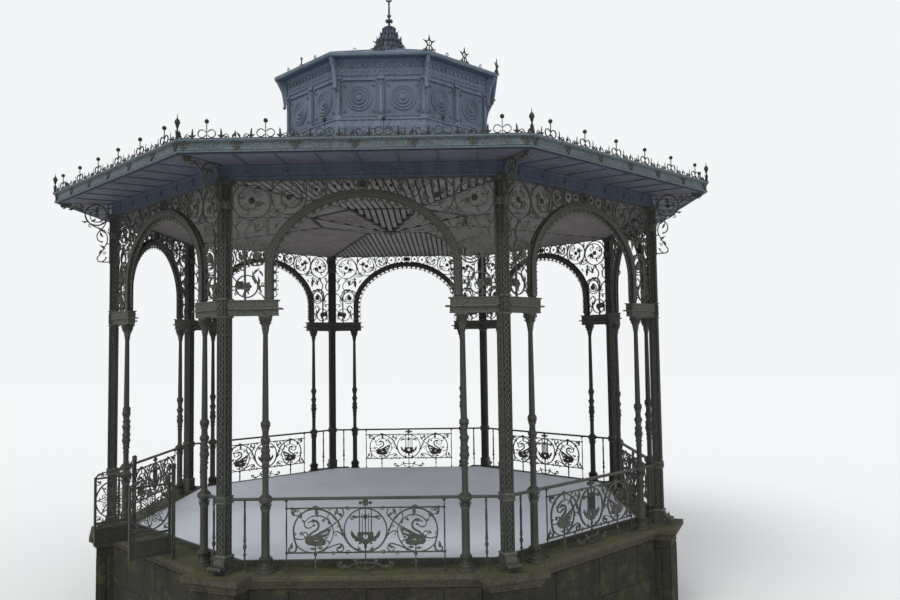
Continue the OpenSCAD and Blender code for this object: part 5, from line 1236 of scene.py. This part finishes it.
# Name, strength, and in degrees the angle, the tilt from straight down and the turn of each sun
SUNS = (("sun_key", 1.5, 30, 42, -35), ("sun_fill", 0.6, 60, 66, 40))
# The solved camera: its place, its turn left, tilt up and roll in radians, and its focal length in pixels
CAMERA_PLACE = (1.248, -14.866, COPING_Z + 2.851)
CAMERA_YAW, CAMERA_PITCH, CAMERA_ROLL = 0.010605, 0.061377, -0.014471
FOCAL_PX, WIDTH_PX, SENSOR_MM = 794.4, 900.0, 36.0


def stage_floor():
    """A pale floor that shows the object's shadow."""
    mesh = bpy.data.meshes.new("stage_floor")
    mesh.from_pydata([(x * FLOOR_REACH, y * FLOOR_REACH, 0.0) for x, y in ((-1, -1), (1, -1), (1, 1), (-1, 1))], [],
                     [(0, 1, 2, 3)])
    floor = bpy.data.objects.new("stage_floor", mesh)
    bpy.context.scene.collection.objects.link(floor)
    material, _, shader = shaded("stage_floor", specular=0.0)
    shader.inputs["Base Color"].default_value = FLOOR_COLOUR
    shader.inputs["Roughness"].default_value = 0.9
    mesh.materials.append(material)


def sky():
    """A plain world that lights softly, and that the camera sees as pale as the far floor."""
    world = bpy.data.worlds.new("sky")
    bpy.context.scene.world = world
    world.use_nodes = True
    tree = world.node_tree
    tree.nodes.clear()
    soft = node(tree, "ShaderNodeBackground", {"Color": SKY_LIGHT, "Strength": SKY_STRENGTH})
    seen = node(tree, "ShaderNodeBackground", {"Color": SKY_SEEN, "Strength": 1.0})
    camera_ray = node(tree, "ShaderNodeLightPath", {}).outputs["Is Camera Ray"]
    mix = node(tree, "ShaderNodeMixShader", {0: camera_ray, 1: soft.outputs[0], 2: seen.outputs[0]})
    node(tree, "ShaderNodeOutputWorld", {"Surface": mix.outputs[0]})


def suns():
    """A broad sun from high on the left and a low soft one from the front right."""
    for name, energy, angle, tilt, turn in SUNS:
        light = bpy.data.lights.new(name, "SUN")
        light.energy = energy
        light.angle = math.radians(angle)
        lamp = bpy.data.objects.new(name, light)
        lamp.rotation_euler = (math.radians(tilt), 0, math.radians(turn))
        bpy.context.scene.collection.objects.link(lamp)


def camera():
    """The camera at the photograph's place: its axes from yaw and pitch, then turned by the roll about its view."""
    flat = math.cos(CAMERA_PITCH)
    forward = Vector((-math.sin(CAMERA_YAW) * flat, math.cos(CAMERA_YAW) * flat, math.sin(CAMERA_PITCH)))
    right = Vector((math.cos(CAMERA_YAW), math.sin(CAMERA_YAW), 0))
    up = right.cross(forward)
    c, s = math.cos(CAMERA_ROLL), math.sin(CAMERA_ROLL)
    turn = Matrix((right * c + up * s, up * c - right * s, -forward)).transposed()
    data = bpy.data.cameras.new("camera")
    data.sensor_width = SENSOR_MM
    data.lens = FOCAL_PX / WIDTH_PX * SENSOR_MM
    data.clip_end = 500.0
    made = bpy.data.objects.new("camera", data)
    bpy.context.scene.collection.objects.link(made)
    made.matrix_world = Matrix.Translation(CAMERA_PLACE) @ turn.to_4x4()
    bpy.context.scene.camera = made
    bpy.context.scene.view_settings.view_transform = "Standard"


# The operators, in the order that main() calls them

class BANDSTAND_OT_finishes(bpy.types.Operator):
    """Make every finish and give the frame's own pieces theirs"""
    bl_idname = "bandstand.finishes"
    bl_label = "Finishes"

    def execute(self, context):
        weather_group()
        moss_group()
        c = colours()
        # Name, colour, stains, worn edges, then scale, stain, edge, roughness, grain and bump
        painted("iron_paint", c.iron, (0.125, 0.128, 0.112), (0.36, 0.365, 0.335), 1.0, 0.65, 0.5, 0.55, 0.25)
        painted("cast_ornament", c.iron, (0.13, 0.134, 0.118), (0.42, 0.425, 0.39), 1.3, 0.5, 0.6, 0.55, 0.25)
        painted("iron_dark", darker(c.iron, 0.82), (0.10, 0.102, 0.09), (0.27, 0.275, 0.25), 1.3, 0.6, 0.2, 0.6)
        # A darker iron that paints the shade behind the piers' braids
        painted("painted_shade_iron", darker(c.iron, 0.52), (0.07, 0.07, 0.066), (0.20, 0.20, 0.19), 1.3, 0.5, 0.3, 0.7)
        painted("zinc_paint", c.zinc, (0.19, 0.22, 0.22), (0.43, 0.47, 0.48), 0.8, 0.7, 0.4, 0.6, 0.25, moss=0.25)
        painted("drum_zinc", c.drum, (0.24, 0.275, 0.31), (0.52, 0.57, 0.63), 0.8, 0.6, 0.4, 0.6, 0.25, moss=0.15)
        painted("roof_zinc", c.roof, (0.22, 0.255, 0.30), (0.50, 0.54, 0.60), 0.6, 0.6, 0.3, 0.6, 0.25)
        # The girders' paint is set lighter as painted light against the shade under the eave; the finial, which stands
        # in the light, takes that paint darkened to 0.68
        painted("navy_paint", c.girder, (0.15, 0.175, 0.22), (0.34, 0.37, 0.44), 1.0, 0.5, 0.15, 0.6, specular=0.2)
        painted("finial_paint", darker(c.girder, 0.68), (0.10, 0.115, 0.16), (0.46, 0.50, 0.56), 1.5, 0.5, 0.5, 0.45)
        painted("board_paint", c.board, (0.27, 0.25, 0.24), (0.54, 0.51, 0.50), 1.2, 0.6, 0.3, 0.7)
        painted("soffit_paint", c.soffit, (0.20, 0.20, 0.235), (0.42, 0.41, 0.45), 1.2, 0.7, 0.3, 0.7)
        painted("board_gap", (0.10, 0.095, 0.095), (0.07, 0.07, 0.07), (0.17, 0.16, 0.16), 1.0, 0.5, 0.2, 0.8)
        painted("coping_stone", c.stone, (0.110, 0.105, 0.080), (0.36, 0.34, 0.285), 0.6, 0.85, 0.3, 0.85, 0.4, 0.5,
                moss=0.5)
        # The base's walls and pedestals take the coping's stone darkened to 0.57, for painted shade below the walkway
        # and for moss
        painted("base_stone_shade_and_moss", darker(c.stone, 0.57), (0.070, 0.066, 0.050), (0.25, 0.235, 0.19), 0.6, 0.85, 0.25,
                0.85, 0.4, 0.5, moss=0.4)
        painted("pale_paving", c.paving, (0.725, 0.735, 0.77), (0.815, 0.825, 0.85), 0.4, 0.5, 0.2, 0.55, 0.2, 0.1)
        dress()
        return {"FINISHED"}


class BANDSTAND_OT_stonework(bpy.types.Operator):
    """Lay the stones of the base and the pedestals and the floor's edge"""
    bl_idname = "bandstand.stonework"
    bl_label = "Stonework"

    def execute(self, context):
        put("base_stones", base_stones(), "base_stone_shade_and_moss", 20)
        put("pedestal_stones", pedestal_stones(), "base_stone_shade_and_moss", 20)
        put("floor_edge", floor_edge(), "iron_paint")
        return {"FINISHED"}


class BANDSTAND_OT_piers(bpy.types.Operator):
    """Put the reliefs, mouldings and scrolled feet on the eight piers"""
    bl_idname = "bandstand.piers"
    bl_label = "Piers"

    def execute(self, context):
        put("pier_ornament", pier_ornament(), "cast_ornament")
        put("pier_reliefs", pier_reliefs(shade_plates=False), "cast_ornament")
        # Dark plates of painted shade behind the braids
        put("pier_painted_shade", pier_reliefs(shade_plates=True), "painted_shade_iron", 20)
        return {"FINISHED"}


class BANDSTAND_OT_columns(bpy.types.Operator):
    """Turn the sixteen slender columns and put leaves and beads on them"""
    bl_idname = "bandstand.columns"
    bl_label = "Columns"

    def execute(self, context):
        shafts = all_columns(lathe(COLUMN_PROFILE, 20))
        put("turned_columns", shafts, "iron_paint", 40, replaces=("slender_columns",))
        put("column_leaves", all_columns(column_ornament()), "cast_ornament", 50)
        return {"FINISHED"}


class BANDSTAND_OT_arches(bpy.types.Operator):
    """Hang the fringe under the arches and put ribs on them and fillets on the impost beams"""
    bl_idname = "bandstand.arches"
    bl_label = "Arches"

    def execute(self, context):
        put("arch_fringe", arch_fringe(), "cast_ornament")
        put("arch_ribs", arch_ribs(), "cast_ornament")
        put("impost_ornament", impost_ornament(), "cast_ornament")
        return {"FINISHED"}


class BANDSTAND_OT_spandrels(bpy.types.Operator):
    """Fill the spandrels with leaves, curls and rosettes"""
    bl_idname = "bandstand.spandrels"
    bl_label = "Spandrels"

    def execute(self, context):
        put("spandrel_leaves", spandrel_leaves(), "cast_ornament")
        return {"FINISHED"}


class BANDSTAND_OT_railings(bpy.types.Operator):
    """Put leaves, curls and knobs on the railings and round their handrails"""
    bl_idname = "bandstand.railings"
    bl_label = "Railings"

    def execute(self, context):
        put("railing_leaves", railing_leaves(), "cast_ornament")
        put("balusters", balusters(), "cast_ornament")
        put("handrail_tops", handrail_tops(), "iron_paint")
        return {"FINISHED"}


class BANDSTAND_OT_gates(bpy.types.Operator):
    """Put leaves, rings and studs on the two gate leaves and their posts"""
    bl_idname = "bandstand.gates"
    bl_label = "Gates"

    def execute(self, context):
        put("gate_detail_near", gate_leaf_detail(1), "cast_ornament", body="near_leaf")
        put("gate_detail_far", gate_leaf_detail(-1), "cast_ornament", body="far_leaf")
        put("gate_post_detail", gate_post_detail(), "cast_ornament")
        return {"FINISHED"}


class BANDSTAND_OT_girders(bpy.types.Operator):
    """Put studs on the girders and leaves in the corner brackets"""
    bl_idname = "bandstand.girders"
    bl_label = "Girders"

    def execute(self, context):
        put("girder_studs", girder_studs(), "navy_paint", 30)
        put("bracket_leaves", bracket_leaves(), "cast_ornament")
        return {"FINISHED"}


class BANDSTAND_OT_eaves(bpy.types.Operator):
    """Put the clips on the fascia and the rings and leaves in the cresting"""
    bl_idname = "bandstand.eaves"
    bl_label = "Eaves"

    def execute(self, context):
        put("fascia_clips", fascia_clips(), "iron_paint", 40)
        put("fascia_lines", fascia_lines(), "drum_zinc", 30)
        put("eave_cresting_leaves", join([cresting(), corner_spikes()]), "iron_dark")
        return {"FINISHED"}


class BANDSTAND_OT_boarding(bpy.types.Operator):
    """Nail the boards under the ceiling and the soffit"""
    bl_idname = "bandstand.boarding"
    bl_label = "Boarding"

    def execute(self, context):
        put("ceiling_boards", ceiling_boards(), "board_paint", 20)
        put("soffit_boards", soffit_boards(), "soffit_paint", 20)
        put("soffit_battens", soffit_battens(), "navy_paint", 20)
        return {"FINISHED"}


class BANDSTAND_OT_roof(bpy.types.Operator):
    """Put the standing seams and the hip rolls on the two roofs"""
    bl_idname = "bandstand.roof"
    bl_label = "Roof"

    def execute(self, context):
        put("roof_seams", roof_seams(), "roof_zinc", 30)
        return {"FINISHED"}


class BANDSTAND_OT_drum(bpy.types.Operator):
    """Put scrolls, frames, dentils and leaves on the lantern drum"""
    bl_idname = "bandstand.drum"
    bl_label = "Drum"

    def execute(self, context):
        put("drum_ornament", drum_ornament(), "drum_zinc", 30)
        put("antefix_leaves", antefix_leaves(), "iron_dark")
        return {"FINISHED"}


class BANDSTAND_OT_finial(bpy.types.Operator):
    """Put ribs, leaves and beads on the finial"""
    bl_idname = "bandstand.finial"
    bl_label = "Finial"

    def execute(self, context):
        put("finial_ornament", finial_ornament(), "finial_paint", 40)
        return {"FINISHED"}


class BANDSTAND_OT_stage(bpy.types.Operator):
    """Set the pale floor, the soft light and the camera"""
    bl_idname = "bandstand.stage"
    bl_label = "Stage"

    def execute(self, context):
        stage_floor()
        sky()
        suns()
        camera()
        return {"FINISHED"}


OPERATORS = (
    BANDSTAND_OT_finishes, BANDSTAND_OT_stonework, BANDSTAND_OT_piers, BANDSTAND_OT_columns, BANDSTAND_OT_arches,
    BANDSTAND_OT_spandrels, BANDSTAND_OT_railings, BANDSTAND_OT_gates, BANDSTAND_OT_girders, BANDSTAND_OT_eaves,
    BANDSTAND_OT_boarding, BANDSTAND_OT_roof, BANDSTAND_OT_drum, BANDSTAND_OT_finial, BANDSTAND_OT_stage)


class BANDSTAND_PT_panel(bpy.types.Panel):
    """Lists the colours, the sizes and the operators that make the pieces"""
    bl_label = "Bandstand"
    bl_idname = "BANDSTAND_PT_panel"
    bl_space_type = "VIEW_3D"
    bl_region_type = "UI"
    bl_category = "Bandstand"

    def draw(self, context):
        for values in (colours(), sizes()):
            for name in values.__annotations__:
                self.layout.prop(values, name)
        for made in OPERATORS:
            self.layout.operator(made.bl_idname)


CLASSES = (BandstandColours, BandstandSizes, *OPERATORS, BANDSTAND_PT_panel)


def register():
    """Registers the classes and hangs the user's values on the scene."""
    for made in CLASSES:
        bpy.utils.register_class(made)
    bpy.types.Scene.bandstand_colours = bpy.props.PointerProperty(type=BandstandColours)
    bpy.types.Scene.bandstand_sizes = bpy.props.PointerProperty(type=BandstandSizes)


def unregister():
    """Takes the classes and the values away again."""
    del bpy.types.Scene.bandstand_sizes
    del bpy.types.Scene.bandstand_colours
    for made in reversed(CLASSES):
        bpy.utils.unregister_class(made)


def main():
    """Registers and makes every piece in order."""
    register()
    for made in OPERATORS:
        getattr(bpy.ops.bandstand, made.bl_idname.split(".")[1])()


if __name__ == "__main__":
    main()
